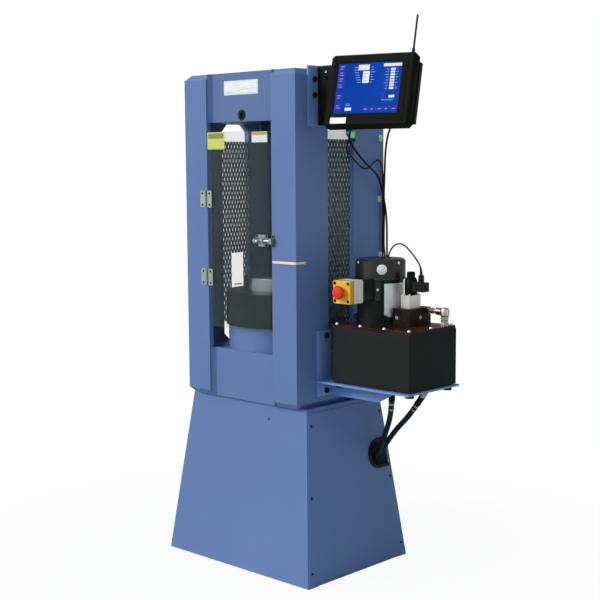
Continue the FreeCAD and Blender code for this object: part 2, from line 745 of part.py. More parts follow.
lock_head = rod(s.lock_radius, 11, (0, -block_y + 0.5, lock_level), "Y")
lock_shank = rod(lock_stem, block_y - recess_radius - 14, (0, -block_y + 11, lock_level), "Y")
lock_socket = hexagon(9, 8, (0, -block_y - 1, lock_level), "Y")
node("platen_lock_screw", cut(fuse(lock_head, lock_shank), lock_socket))

bolt_head = 10.0
frame_bolts = []
for across, back in frame_bolt_spots:
    shank = rod(s.frame_bolt, 50, (across, back, hollow_top - 0.5))
    head = hexagon(13.5, bolt_head, (across, back, hollow_top - bolt_head))
    frame_bolts.append(fuse(shank, head))

# Upper platen on its spherical seat

face = s.platen_face
seat_low = crosshead_bottom - s.seat_drop
seat_bore = 16.0
seat = turned([(seat_bore - 10, seat_low), (s.seat_radius, seat_low), (s.seat_radius, crosshead_bottom - 3),
               (s.seat_radius - 3, crosshead_bottom), (seat_bore - 10, crosshead_bottom)], name="seat")
seat = cut(seat, ball(s.ball_radius + s.soft_gap, (0, 0, face)),
           rod(seat_bore, s.seat_drop * 2, (0, 0, seat_low)))
node("platen_seat", seat)

disc_top = face + s.platen_thick
edge_break = 1.5
disc = turned([(0, face), (s.platen_radius - edge_break, face), (s.platen_radius, face + edge_break),
               (s.platen_radius, disc_top - edge_break), (s.platen_radius - edge_break, disc_top),
               (0, disc_top)], name="platen_disc")
dome_top = face + s.ball_radius - 7
dome = common(ball(s.ball_radius, (0, 0, face)),
              rod(s.ball_radius, dome_top - disc_top + 3, (0, 0, disc_top - 3)))
stem_pocket = rod(s.stem_radius + 5, dome_top - face, (0, 0, face + 14))
node("upper_platen", cut(fuse(disc, dome), stem_pocket))

stem_low = face + 16
nut_low = crosshead_bottom + 11.3
node("platen_stem", turned([
    (0, stem_low), (s.stem_radius + 3, stem_low), (s.stem_radius + 3, stem_low + 8),
    (s.stem_radius, stem_low + 8), (s.stem_radius, nut_low), (s.stem_radius + 6, nut_low),
    (s.stem_radius + 6, nut_low + 13), (s.stem_radius, nut_low + 13), (s.stem_radius, nut_low + 20),
    (0, nut_low + 20)], name="stem"))
spring_inner = s.stem_radius + 0.5
spring_outer = seat_bore + 3
spring_step = 2.6
springs = []
for turn_count in range(4):
    low = crosshead_bottom + 0.75 + spring_step * turn_count
    inner_lift, outer_lift = (0, 0.9) if turn_count % 2 else (0.9, 0)
    springs.append(turned([(spring_inner, low + inner_lift), (spring_outer, low + outer_lift),
                           (spring_outer, low + outer_lift + 1.5), (spring_inner, low + inner_lift + 1.5)],
                          name="disc_spring"))
node("platen_springs", group(*springs))

# Hydraulic cylinder, ram and lower platen

bore = s.ram_radius
mouth = s.cylinder_top
groove = bore + 6.4
floor = base_top + s.cylinder_floor
port = 8.0
node("cylinder_body", cut(turned([
    (port, base_top), (s.cylinder_radius, base_top), (s.cylinder_radius, mouth - 4),
    (s.cylinder_radius - 4, mouth), (bore, mouth), (bore, mouth - 3), (groove, mouth - 3),
    (groove, mouth - 9), (bore, mouth - 9), (bore, mouth - 16), (groove, mouth - 16),
    (groove, mouth - 24), (bore, mouth - 24), (bore, floor), (port, floor)], name="cylinder"),
    rod(6, s.cylinder_floor + 10, (60, 30, base_top - 5))))
rings = []
for low, high in ((mouth - 9, mouth - 3), (mouth - 24, mouth - 16)):
    rings.append(turned(rectangle(bore + s.soft_gap, low + 0.2, groove - 0.2, high - 0.2), name="ring"))
node("ram_seals", group(*rings))
ram_top = s.skirt_level - s.skirt_top
ram_low = floor + s.ram_rest
ram_side = bore - s.running_gap
node("ram", turned([(0, ram_low), (ram_side - 4, ram_low), (ram_side, ram_low + 4), (ram_side, ram_top - 1),
                    (ram_side - 1, ram_top), (0, ram_top)], name="ram"))
skirt_inner = s.skirt_radius - s.skirt_wall
skirt_low = s.skirt_level - s.skirt_height
node("dust_skirt", turned([
    (0, ram_top), (skirt_inner, ram_top), (skirt_inner, skirt_low), (s.skirt_radius, skirt_low),
    (s.skirt_radius, s.skirt_level - 3), (s.skirt_radius - 3, s.skirt_level), (0, s.skirt_level)],
    name="skirt"))
lower_top = s.skirt_level + s.lower_thick
platen_outline = [(0, s.skirt_level), (s.lower_radius - 1, s.skirt_level), (s.lower_radius, s.skirt_level + 1),
                  (s.lower_radius, lower_top - 1), (s.lower_radius - 1, lower_top)]
for ring_radius in (102, 76, 51):
    platen_outline += [(ring_radius + 0.8, lower_top), (ring_radius + 0.8, lower_top - 0.8),
                       (ring_radius - 0.8, lower_top - 0.8), (ring_radius - 0.8, lower_top)]
platen_outline.append((0, lower_top))
node("lower_platen", turned(platen_outline, name="lower_platen"))

# Side guards of expanded metal


def diamond_sheet(cut_out=None):
    """Expanded metal as a flat sheet in the YZ plane, its long diamonds upright."""
    wide = float(s.guard_width)
    tall = float(s.guard_height)
    pitch = float(s.diamond_width)
    rise = float(s.diamond_height)
    half_strand = float(s.strand) / 2
    half_across = pitch / 2 - half_strand
    half_up = rise / 2 - half_strand * rise / pitch * 0.8
    corner = [V(0, -wide / 2, 0), V(0, wide / 2, 0), V(0, wide / 2, tall), V(0, -wide / 2, tall)]
    holes = []
    columns = round(wide / pitch)
    rows = round(tall / rise)
    for row_number in range(2 * rows - 1):
        odd = row_number % 2
        middle_up = rise / 2 * (row_number + 1)
        for number in range(columns - odd):
            middle = -wide / 2 + pitch * (number + 0.5 + odd / 2)
            spots = [V(0, middle - half_across, middle_up), V(0, middle, middle_up - half_up),
                     V(0, middle + half_across, middle_up), V(0, middle, middle_up + half_up)]
            holes.append(Part.makePolygon(spots + spots[:1]))
    sheet_face = Part.makeFace([Part.makePolygon(corner + corner[:1])] + holes, "Part::FaceMakerBullseye")
    solid = sheet_face.extrude(V(float(s.guard_wall), 0, 0))
    if cut_out:
        low_y, low_z, high_y, high_z = cut_out
        solid = solid.cut(Part.makeBox(20, high_y - low_y, high_z - low_z, V(-10, low_y, low_z)))
    return solid


specimen_window = (-17, 114, 31, 217)
for label, side, window_cut in (("side_guard_left", -1, specimen_window), ("side_guard_right", 1, None)):
    guard = new("Part::Feature", label)
    guard.Shape = diamond_sheet(window_cut)
    start = -(half_width - s.web_wall) if side < 0 else half_width - s.web_wall - s.guard_wall
    place(guard, (start, 0, s.guard_bottom))
    node(label, guard)

# Rear guard

toe_gap = toe_x
rear_x = toe_x + s.rear_lap
rear_low = s.guard_bottom - 16
rear_high = crosshead_bottom - 19
rear_screw_x = toe_x + s.rear_lap / 2
rear_levels = [rear_low + 20, (rear_low + rear_high) / 2, rear_high - 20]
rear_spots = [(rear_screw_x * x, level) for x in (-1, 1) for level in rear_levels]
rear = plate("XZ_Plane", rectangle(-rear_x, rear_low, rear_x, rear_high), s.rear_wall, (0, half_depth, 0),
             back=True, name="rear_guard")
node("rear_guard", rear)
small_screws += [screw(5, 3, (x, half_depth + s.rear_wall, level), "Y") for x, level in rear_spots]

# Door with its hinges and latch

door_top = s.door_bottom + s.door_height
door = plate("XZ_Plane", rectangle(s.door_left, s.door_bottom, s.door_right, door_top), s.door_wall,
             (0, -half_depth, 0), back=True, name="door")
rounded(door, 6, lambda edge: along(edge, Y_AXIS))
node("door_panel", door)

leaf_front = -half_depth - s.leaf_wall
knuckle_y = -half_depth - s.knuckle_radius - 0.3
third = s.hinge_length / 3
frame_leaves = []
door_leaves = []
frame_hinge_screws = []
door_hinge_screws = []
knuckle_bore = s.pin_radius + s.running_gap
for level in (s.hinge_low, s.hinge_high):
    low = level - s.hinge_length / 2
    joint_bore = rod(knuckle_bore, s.hinge_length + 4, (s.hinge_axis, knuckle_y, low - 2))
    frame_plate = box((s.hinge_axis - s.leaf_width, leaf_front, low), (s.leaf_width, s.leaf_wall, s.hinge_length))
    frame_room = box((s.hinge_axis - s.knuckle_radius - 0.4, leaf_front - 20, low + third),
                     (s.knuckle_radius * 2 + 1, 40, third))
    ends = [rod(s.knuckle_radius, third, (s.hinge_axis, knuckle_y, low + third * step)) for step in (0, 2)]
    pin = rod(s.pin_radius, s.hinge_length, (s.hinge_axis, knuckle_y, low))
    frame_leaves.append(fuse(cut(frame_plate, frame_room), pin, *ends))
    door_plate = box((s.hinge_axis, leaf_front, low), (s.leaf_width, s.leaf_wall, s.hinge_length))
    door_rooms = [box((s.hinge_axis - s.knuckle_radius, leaf_front - 20, low + third * step - 0.3),
                      (s.knuckle_radius * 2 + 0.4, 40, third + 0.6)) for step in (0, 2)]
    middle = rod(s.knuckle_radius, third - 0.6, (s.hinge_axis, knuckle_y, low + third + 0.3))
    door_leaves.append(cut(fuse(cut(door_plate, *door_rooms), middle), joint_bore))
    for offset in (-17, 17):
        out = s.leaf_width / 2 + 3
        frame_hinge_screws.append(screw(3.4, 1.8, (s.hinge_axis - out, leaf_front, level + offset), "-Y"))
        door_hinge_screws.append(screw(3.4, 1.8, (s.hinge_axis + out, leaf_front, level + offset), "-Y"))
node("hinge_frame_leaves", group(*frame_leaves))
node("hinge_door_leaves", group(*door_leaves))

latch_low = s.latch_level - s.latch_height / 2
plate_left = s.door_right - 52
plate_right = s.door_right - 4
keeper_left = toe_x + 1
keeper_width = 10.5
bolt_y = leaf_front - 6.8
bolt_bore = s.latch_bolt_radius + s.running_gap
latch_plate = box((plate_left, leaf_front, latch_low), (plate_right - plate_left, s.leaf_wall, s.latch_height))
guides = [box((left, leaf_front - 13, s.latch_level - 7), (width, 13, 14))
          for left, width in ((plate_left + 2, 6), (plate_left + 32, 8))]
bolt_way = rod(bolt_bore, 90, (plate_left - 12, bolt_y, s.latch_level), "X")
node("latch_body", cut(fuse(latch_plate, *guides), bolt_way))
keeper_plate = box((keeper_left, leaf_front, latch_low), (keeper_width, s.leaf_wall, s.latch_height))
keeper_loop = box((keeper_left, leaf_front - 13, s.latch_level - 8), (keeper_width, 13, 16))
keeper_way = rod(s.latch_bolt_radius + 0.5, 90, (keeper_left - 35.5, bolt_y, s.latch_level), "X")
node("latch_keeper", cut(fuse(keeper_plate, keeper_loop), keeper_way))
bolt_start = plate_left - 2
handle_x = bolt_start + 28
slide_bolt = fuse(rod(s.latch_bolt_radius, 72, (bolt_start, bolt_y, s.latch_level), "X"),
                  rod(3.2, 16, (handle_x, bolt_y, s.latch_level), "-Y"),
                  ball(4.6, (handle_x, bolt_y - 17, s.latch_level)))
node("latch_bolt", slide_bolt)
latch_screws = [screw(2.6, 1.5, (x, leaf_front, s.latch_level + z), "-Y")
                for x in (plate_left + 5, plate_right - 5) for z in (-13, 13)]
keeper_screws = [screw(2.6, 1.5, (keeper_left + keeper_width / 2, leaf_front, s.latch_level + z), "-Y")
                 for z in (-12.8, 12.8)]
node("door_screws", group(*(door_hinge_screws + latch_screws)))
node("frame_hinge_screws", group(*(frame_hinge_screws + keeper_screws)))

# Shelf and its brackets

shelf_low = s.shelf_level - s.shelf_wall
bracket_wall = 5.0
shelf_left = half_width + bracket_wall + 0.3
shelf_right = half_width + s.shelf_length
mount_x = (s.tank_left + 16, s.tank_left + s.tank_length - 12)
mount_y = (s.tank_front + 17, s.tank_front + s.tank_depth - 26)
mount_spots = [(x, y) for x in mount_x for y in mount_y]
hose_ports = [(s.tank_left + 99, s.tank_front + 149), (s.tank_left + 213, s.tank_front + 161)]
port_hole = 15.0
shelf_holes = [(x, y, 5.5) for x, y in mount_spots] + [(x, y, port_hole) for x, y in hose_ports]
shelf = plate("XY_Plane", rectangle(shelf_left, s.shelf_front, shelf_right, s.shelf_front + s.shelf_depth),
              s.shelf_wall, (0, 0, shelf_low), holes=shelf_holes, name="shelf")
node("shelf", shelf)
brackets = []
for outstanding, leg_low in ((s.bracket_front - bracket_wall, s.bracket_front - s.bracket_leg),
                             (s.bracket_rear + s.bracket_leg - bracket_wall, s.bracket_rear)):
    leg = box((half_width, leg_low, s.bracket_foot), (bracket_wall, s.bracket_leg, s.bracket_height))
    reach = half_width + s.bracket_reach
    arm = plate("XZ_Plane", [(half_width, s.bracket_foot), (reach - 79, s.bracket_foot), (reach, shelf_low),
                             (half_width, shelf_low)], bracket_wall, (0, outstanding, 0), back=True,
                name="bracket_arm")
    leg_bolts = [rod(s.bolt_radius + 0.3, 30, (half_width - 10, back, level), "X")
                 for back, level in bracket_bolt_spots[:4]]
    brackets.append(cut(fuse(leg, arm), *leg_bolts))
node("shelf_brackets", group(*brackets))
bolts = []
for back, level in bracket_bolt_spots:
    thickness = s.arm_wall if back is arm_bolt else bracket_wall
    head_face = half_width + thickness
    bolts.append(screw(9, 5.5, (head_face, back, level), "X", s.bolt_radius, thickness + s.web_wall - 1))

# Oil tank

tank_low = s.shelf_level + s.tank_foot
tank_top = tank_low + s.tank_height
tank_right = s.tank_left + s.tank_length
tank_rear = s.tank_front + s.tank_depth
tank = plate("XY_Plane", rectangle(s.tank_left, s.tank_front, tank_right, tank_rear), s.tank_height,
             (0, 0, tank_low), name="tank")
rounded(tank, s.tank_corner, lambda edge: along(edge, Z_AXIS))
inside = rectangle(s.tank_left + s.tank_wall, s.tank_front + s.tank_wall, tank_right - s.tank_wall,
                   tank_rear - s.tank_wall)
pocket(tank, sketch(tank, "XY_Plane", inside, lift=s.tank_height), s.tank_height - s.tank_wall)
node("tank", tank)
tank_mounts = []
for across, back in mount_spots:
    tank_mounts.append(fuse(rod(11, s.tank_foot, (across, back, s.shelf_level)),
                            rod(5, s.shelf_wall + s.tank_foot, (across, back, shelf_low)),
                            rod(12, 9, (across, back, shelf_low - 9))))
node("tank_mounts", group(*tank_mounts))
lid_top = tank_top + s.lid_wall
shaft_hole = s.shaft_radius + 4
lid = plate("XY_Plane", rectangle(s.tank_left + s.lid_inset, s.tank_front + s.lid_inset,
                                  tank_right - s.lid_inset, tank_rear - s.lid_inset), s.lid_wall,
            (0, 0, tank_top), holes=[(s.motor_place, s.motor_back, shaft_hole)], name="lid")
node("tank_lid", lid)
lid_edge = 8 + s.lid_inset
lid_x = [s.tank_left + lid_edge + (s.tank_length - lid_edge * 2) * step / 3 for step in range(4)]
lid_y = [s.tank_front + lid_edge, s.tank_front + s.tank_depth / 2, tank_rear - lid_edge]
lid_spots = [(x, lid_y[0]) for x in lid_x] + [(lid_x[3], lid_y[1])]
lid_spots += [(x, lid_y[2]) for x in (lid_x[0], s.manifold_left - 17, lid_x[3])]
node("lid_screws", group(*[screw(5, 4, (x, y, lid_top), "Z") for x, y in lid_spots]))

# Motor and pump

motor_at = (s.motor_place, s.motor_back, 0)
flange_top = lid_top + 11
shell_top = flange_top + s.motor_height
shaft_bore = s.shaft_radius + s.running_gap
motor = turned([(shaft_bore, lid_top), (s.motor_radius + 3, lid_top), (s.motor_radius + 3, flange_top - 2),
                (s.motor_radius + 1, flange_top), (s.motor_radius, flange_top),
                (s.motor_radius, shell_top - 4), (s.motor_radius - 4, shell_top), (shaft_bore, shell_top)],
               motor_at, name="motor")
cover_low = shell_top - 14
cover_top = cover_low + s.cover_height
cover_inner = s.cover_radius - s.cover_wall
camera_side = -47
lug_turns = [camera_side + 120 * step + 60 for step in range(3)]


def around_motor(angle, *pieces):
    """Turn pieces that lie along X about the motor's axis."""
    return place(group(*pieces), (s.motor_place, s.motor_back, 0), FreeCAD.Rotation(Z_AXIS, angle))


lugs = [around_motor(angle, box((s.motor_radius - 6, -6, cover_low + 2), (cover_inner - s.motor_radius + 5.4,
                                                                        12, 10))) for angle in lug_turns]
gland_level = flange_top + 82
gland_out = s.motor_back + 80
motor_gland = fuse(rod(8, 20, (s.motor_place - 8, gland_out - 20, gland_level), "Y"),
                   hexagon(9.5, 6, (s.motor_place - 8, gland_out - 14, gland_level), "Y"))
node("motor_body", fuse(motor, motor_gland, *lugs))
cover = turned([(cover_inner, cover_low), (s.cover_radius, cover_low), (s.cover_radius, cover_top - 6),
                (s.cover_radius - 6, cover_top), (0, cover_top), (0, cover_top - s.cover_wall),
                (cover_inner - 6, cover_top - s.cover_wall), (cover_inner, cover_top - 6)], motor_at, name="cover")
vents = [around_motor(30 * step, box((20, -2.5, cover_top - 5), (36, 5, 10))) for step in range(12)]
node("fan_cover", cut(cover, *vents))
small_screws += [around_motor(angle, screw(4, 2.4, (s.cover_radius, 0, cover_low + 7), "X"))
                 for angle in lug_turns]
shaft_low = tank_top - 36
fan_low = shell_top + 8
fan_high = cover_top - 12
blades = [around_motor(60 * step, box((10, -1.5, fan_low + 2), (50, 3, fan_high - fan_low - 2)))
          for step in range(6)]
shaft = turned([(0, shaft_low), (s.shaft_radius, shaft_low), (s.shaft_radius, fan_low), (14, fan_low),
                (14, fan_high), (0, fan_high)], motor_at, name="shaft")
node("motor_rotor", fuse(shaft, *blades))
pump_low = tank_top - 98
node("pump_body", turned([(0, pump_low - 40), (18, pump_low - 40), (18, pump_low), (45, pump_low),
                          (45, tank_top), (shaft_bore, tank_top), (shaft_bore, shaft_low - 5),
                          (0, shaft_low - 5)], motor_at, name="pump"))

# Terminal box of the motor and the stop button

stop_left = s.motor_place - s.stop_width / 2
stop_back = s.stop_front + s.stop_cover
box_front = stop_back + s.stop_base
stop_low = s.stop_level - s.stop_height / 2
conduit = plate("XZ_Plane", rectangle(stop_left, stop_low + 4, stop_left + s.stop_width,
                                      stop_low + s.stop_height + 1), s.conduit_depth, (0, box_front, 0),
                back=True, name="conduit")
rounded(conduit, 3, lambda edge: along(edge, Y_AXIS))
node("conduit_box", cut(conduit,
                        rod(s.motor_radius + s.soft_gap, 200, (s.motor_place, s.motor_back, stop_low - 20)),
                        rod(s.cover_radius + 4, 60, (s.motor_place, s.motor_back, cover_low - 2))))
stop_frame = rectangle(stop_left, stop_low, stop_left + s.stop_width, stop_low + s.stop_height)
stop_inner = rectangle(stop_left + 3, stop_low + 3, stop_left + s.stop_width - 3, stop_low + s.stop_height - 3)
stop_box = plate("XZ_Plane", stop_frame, s.stop_base, (0, stop_back, 0), back=True, name="stop_box")
rounded(stop_box, 5, lambda edge: along(edge, Y_AXIS))
stop_room = box((stop_left + 3, stop_back - 5, stop_low + 3),
                (s.stop_width - 6, s.stop_base + 2, s.stop_height - 6))
side_gland = fuse(rod(6.5, 14, (stop_left - 12, stop_back + 19, stop_low + 20), "X"),
                  hexagon(8.5, 5, (stop_left - 6, stop_back + 19, stop_low + 20), "X"))
node("stop_base", fuse(cut(stop_box, stop_room), side_gland))
stop_stem = 10.0
lid_plate = plate("XZ_Plane", stop_frame, s.stop_cover, (0, s.stop_front, 0), back=True, name="stop_lid")
rounded(lid_plate, 5, lambda edge: along(edge, Y_AXIS))
rounded(lid_plate, 2, lambda edge: edge.BoundBox.YMax < 0.01, "Chamfer")
cover_room = box((stop_left + 3, s.stop_front + 3, stop_low + 3), (s.stop_width - 6, s.stop_cover,
                                                                  s.stop_height - 6))
node("stop_cover", cut(lid_plate, cover_room,
                       rod(stop_stem + s.running_gap, 20, (s.motor_place, s.stop_front - 5, s.stop_level), "Y")))
small_screws += [screw(3, 1.6, (s.motor_place + x * (s.stop_width / 2 - 8), s.stop_front,
                                s.stop_level + z * (s.stop_height / 2 - 8)), "-Y")
                 for x in (-1, 1) for z in (-1, 1)]
small_screws.append(screw(3.4, 1.8, (stop_left + s.stop_width, box_front + 12, stop_low + 40), "X"))
head_gap = s.stop_stroke + 2
node("stop_button", turned([
    (0, -22), (stop_stem, -22), (stop_stem, head_gap), (17, head_gap), (19, head_gap + 3),
    (19, head_gap + 8), (16, head_gap + 12), (9, head_gap + 13.5), (0, head_gap + 14)],
    (s.motor_place, s.stop_front, s.stop_level), TURNS["-Y"], name="mushroom"))
node("cover_screws", group(*small_screws))

# Manifold, valve and fittings

manifold_top = lid_top + s.manifold_height
node("manifold", box((s.manifold_left, s.manifold_front, lid_top),
                     (s.manifold_width, s.manifold_depth, s.manifold_height)))
node("valve_body", box((s.valve_left, s.valve_front, manifold_top),
                       (s.valve_width, s.valve_depth, s.valve_height)))
coil_x = s.valve_left + s.valve_width / 2
coil_y = s.valve_front + s.valve_depth / 2
coil_low = manifold_top + s.valve_height
coil_top = coil_low + s.coil_height
din_left = coil_x + s.coil_radius + 1
coil = turned([(0, coil_low), (s.coil_radius, coil_low), (s.coil_radius, coil_top), (11.5, coil_top),
               (11.5, coil_top + 14), (9.5, coil_top + 17), (0, coil_top + 17)], (coil_x, coil_y, 0), name="coil")
node("solenoid_coil", fuse(coil, box((coil_x + 4, coil_y - 12, coil_low + 13), (din_left - coil_x - 4, 24, 22))))
din_width = 38
gland_x = din_left + 21
gland_y = coil_y - 1
din_top = coil_low + 37
gland_top = din_top + 20
din = fuse(box((din_left, coil_y - 15, coil_low + 11), (din_width, 28, 26)),
           rod(8, gland_top - din_top, (gland_x, gland_y, din_top)),
           hexagon(9.2, 7, (gland_x, gland_y, din_top + 3)))
node("din_connector", din)

manifold_right = s.manifold_left + s.manifold_width
manifold_rear = s.manifold_front + s.manifold_depth
pipe_level = manifold_top - 9
pipe_run = s.pipe_place - manifold_right
return_pipe = fuse(rod(5.5, pipe_run, (manifold_right, s.pipe_back, pipe_level), "X"),
                   ball(7.5, (s.pipe_place, s.pipe_back, pipe_level)),
                   rod(7, pipe_level - lid_top, (s.pipe_place, s.pipe_back, lid_top)),
                   hexagon(9.5, 9, (manifold_right, s.pipe_back, pipe_level), "X"),
                   hexagon(9.5, 9, (manifold_right + 32, s.pipe_back, pipe_level), "X"),
                   hexagon(11, 9, (s.pipe_place, s.pipe_back, lid_top)))
plug_level = lid_top + 22
plugs = [cut(rod(5.5, 1.6, (s.manifold_left + 16, s.manifold_front - 1.6, plug_level), "Y"),
             hexagon(2.5, 1.0, (s.manifold_left + 16, s.manifold_front - 1.8, plug_level), "Y")),
         cut(rod(5.5, 1.6, (manifold_right, s.manifold_front + 48, plug_level), "X"),
             hexagon(2.5, 1.0, (manifold_right + 0.8, s.manifold_front + 48, plug_level), "X"))]
sensor_x = s.manifold_left + 10
sensor_level = lid_top + 24
sensor_end = manifold_rear + 20
transducer = fuse(hexagon(10, 6, (sensor_x, manifold_rear, sensor_level), "Y"),
                  rod(8.5, 14, (sensor_x, manifold_rear + 6, sensor_level), "Y"))
first_port, second_port = hose_ports
port_end = tank_low - 33.5
tank_port = fuse(rod(9, tank_low - port_end, (first_port[0], first_port[1], port_end)),
                 hexagon(13, 10, (first_port[0], first_port[1], tank_low - 10)))
elbow_centre = V(float(second_port[0]), float(second_port[1]), float(tank_low) - 23.5)
return_aim = V(float(half_width) + 201, 72, float(s.pedestal_height) - 22)
elbow_way = (return_aim - elbow_centre).normalize()
return_start = elbow_centre + elbow_way * 24
elbow_stem = new("Part::Cylinder", "bar")
bind(elbow_stem, "Radius", 9.0)
bind(elbow_stem, "Height", 24.0)
place(elbow_stem, tuple(elbow_centre), FreeCAD.Rotation(Z_AXIS, elbow_way))
tank_elbow = fuse(rod(9, 23.5, (second_port[0], second_port[1], tank_low - 23.5)),
                  hexagon(13, 10, (second_port[0], second_port[1], tank_low - 10)),
                  ball(9, tuple(elbow_centre)), elbow_stem)
frame_low = s.pedestal_height
port_low = frame_low - 45
centre_port = fuse(rod(9, 45, (0, 0, port_low)), hexagon(17, 14, (0, 0, frame_low - 14)),
                   rod(13.6, 25, (0, 0, frame_low)))
second_stem = fuse(rod(9, 75, (60, 30, port_low)), hexagon(13, 14, (60, 30, frame_low - 14)))
node("hydraulic_fittings", group(return_pipe, transducer, tank_port, tank_elbow, centre_port, second_stem,
                                 *plugs))

# Screen, its bracket and its antenna

screen_turn = FreeCAD.Rotation(Z_AXIS, float(s.screen_turn)) * FreeCAD.Rotation(X_AXIS, -float(s.screen_lean))
pivot_depth = s.housing_depth + s.back_depth + 16
screen_middle = V(float(s.screen_place), float(s.screen_back), float(s.screen_level))
pivot = screen_middle + screen_turn.multVec(V(0, float(pivot_depth), 0))


def at_screen(piece):
    """Bring a piece from the screen's own frame, its pivot at the origin, to its place."""
    return place(piece, tuple(pivot), screen_turn)


def from_screen(across, back, up):
    """A point of the screen's own frame in the machine's frame."""
    return pivot + screen_turn.multVec(V(across, back, up))


arm_low = s.arm_level - s.arm_height / 2
bracket_leg = box((half_width, s.arm_front, arm_low), (s.arm_wall, s.arm_leg, s.arm_height))
stand_y = s.arm_front + s.arm_leg - s.arm_wall
bracket_arm = box((half_width, stand_y, arm_low), (s.arm_reach, s.arm_wall, s.arm_height))
arm_holes = [rod(s.bolt_radius + 0.3, 30, (half_width - 10, arm_bolt, level), "X") for level in arm_bolt_levels]
tilt_screw_spots = [(half_width + 37, s.arm_level + side) for side in (50, -50)]
tilt_holes = [rod(4.3, 30, (x, stand_y - 12, level), "Y") for x, level in tilt_screw_spots]
node("monitor_bracket", cut(fuse(bracket_leg, bracket_arm), *(arm_holes + tilt_holes)))
tilt_wall = 4.0
tilt_height = s.arm_height - 5
tilt_plate = box((half_width + 9, stand_y - tilt_wall, arm_low + 2.5), (62, tilt_wall, tilt_height))
tilt_slots = [box((x - 9, stand_y - 10, level - 4.4), (18, 20, 8.8)) for x, level in tilt_screw_spots]
bar_radius = 8.0
bar = at_screen(group(rod(bar_radius, 182, (-137, 0, 0), "X")))
node("tilt_arm", fuse(cut(tilt_plate, *tilt_slots), bar))
tilt_screws = []
for across, level in tilt_screw_spots:
    face_y = stand_y - tilt_wall
    tilt_screws.append(fuse(screw(8, 4, (across, face_y, level), "-Y"),
                            rod(4, s.arm_wall + tilt_wall, (across, face_y, level), "Y")))
node("bolts", group(*(bolts + frame_bolts + tilt_screws)))

left = -s.housing_width / 2 + 6
right = s.housing_width / 2 + 6
low_edge = -s.housing_height / 2 - 5
high_edge = s.housing_height / 2 - 5
shell_front = plate("XZ_Plane", clipped(left, low_edge, right, high_edge, 8), s.housing_depth, back=True,
                    lift=pivot_depth, name="shell")
front_plane = -float(pivot_depth)
rounded(shell_front, 7, lambda edge: edge.BoundBox.YMax < front_plane + 0.01, "Chamfer")
recess = rectangle(-s.screen_width / 2 - 4, -s.screen_height / 2 - 4, s.screen_width / 2 + 4,
                   s.screen_height / 2 + 4)
pocket(shell_front, sketch(shell_front, "XZ_Plane", recess, lift=pivot_depth), 4.5)
back_front = s.back_depth + 16
back_box = plate("XZ_Plane", clipped(left + 24, low_edge + 27, right - 14, high_edge - 20, 6), s.back_depth,
                 back=True, lift=back_front, name="rear_box")
lug_pieces = [fuse(box((x, -20, -12), (14, 20, 24)), rod(12, 14, (x, 0, 0), "X")) for x in (-32, 20)]
plug_spots = {"controller": (-70, -55), "lead": (-45, -55), "power": (40, -55)}
plug_back = 4
sockets = [rod(7, plug_back + 18, (x, -18, z), "Y") for x, z in plug_spots.values()]
fold_x = 105
fold_y = -27
fold_z = 84
cheeks = [box((fold_x + side, fold_y - 6, fold_z - 10), (3, 12, 14)) for side in (-9.2, 6.2)]
housing = cut(fuse(shell_front, back_box, *(lug_pieces + sockets + cheeks)),
              rod(bar_radius + s.running_gap, 90, (-45, 0, 0), "X"),
              rod(2 + s.running_gap, 24, (fold_x - 12, fold_y, fold_z), "X"))
node("monitor_housing", at_screen(housing))
glass = rectangle(-s.screen_width / 2 - 3.7, -s.screen_height / 2 - 3.7, s.screen_width / 2 + 3.7,
                  s.screen_height / 2 + 3.7)
node("monitor_screen", at_screen(plate("XZ_Plane", glass, 3.5, back=True, lift=pivot_depth - 1, name="glass")))
whip = fuse(ball(5.6, (fold_x, fold_y, fold_z)), rod(4.5, 31, (fold_x, fold_y, fold_z)),
            cone(4.5, 2.7, 6, (fold_x, fold_y, fold_z + 31)),
            rod(2.7, s.antenna_length - 22, (fold_x, fold_y, fold_z + 37)),
            ball(2.7, (fold_x, fold_y, fold_z + 15 + s.antenna_length)),
            rod(2, 18.4, (fold_x - 9.2, fold_y, fold_z), "X"))
node("antenna", at_screen(whip))

# Cable clips

clips = []
for back, height in ((174, 771), (172, 591), (175, 423)):
    level = s.pedestal_height + height
    pad_block = box((half_width, back - 7, level - 9), (3, 14, 18))
    loop = cut(box((half_width + 2.5, back - 4, level - 3), (4.5, 8, 6)),
               box((half_width + 3, back - 2.5, level - 5), (2.2, 5, 10)))
    clips.append(fuse(pad_block, loop))
node("cable_clips", group(*clips))

# Hoses and cables


def cord(label, points, radius):
    """A hose or cable: straight runs joined by arcs that touch both runs."""
    spots = [V(*[float(value) for value in point]) for point in points]
    edges = []
    radii = []
    last = spots[0]
    for before, here, after in zip(spots, spots[1:], spots[2:]):
        way_in = (here - before).normalize()
        way_out = (after - here).normalize()
        turn_angle = way_in.getAngle(way_out)
        reach = 0.45 * min((here - before).Length, (after - here).Length)
        bend = reach / math.tan(turn_angle / 2)
        radii.append(round(bend, 1))
        start = here - way_in * reach
        end = here + way_out * reach
        centre = here + (way_out - way_in).normalize() * (bend / math.cos(turn_angle / 2))
        crest = centre + (here - centre).normalize() * bend
        edges.append(Part.LineSegment(last, start).toShape())
        edges.append(Part.Arc(start, crest, end).toShape())
        last = end
    edges.append(Part.LineSegment(last, spots[-1]).toShape())
    path = Part.Wire(edges)
    section = Part.Wire([Part.makeCircle(float(radius), spots[0], spots[1] - spots[0])])
    solid = path.makePipeShell([section], True, False)
    wanted = math.pi * float(radius) ** 2 * path.Length
    if abs(solid.Volume / wanted - 1) > 0.01:
        raise RuntimeError(label + ": the cord's volume is wrong")
    print(label, "length", round(path.Length), "smallest bend", min(radii), "of", radii)
    piece = new("Part::Feature", label + "_cord")
    piece.Shape = solid
    return node(label, piece)


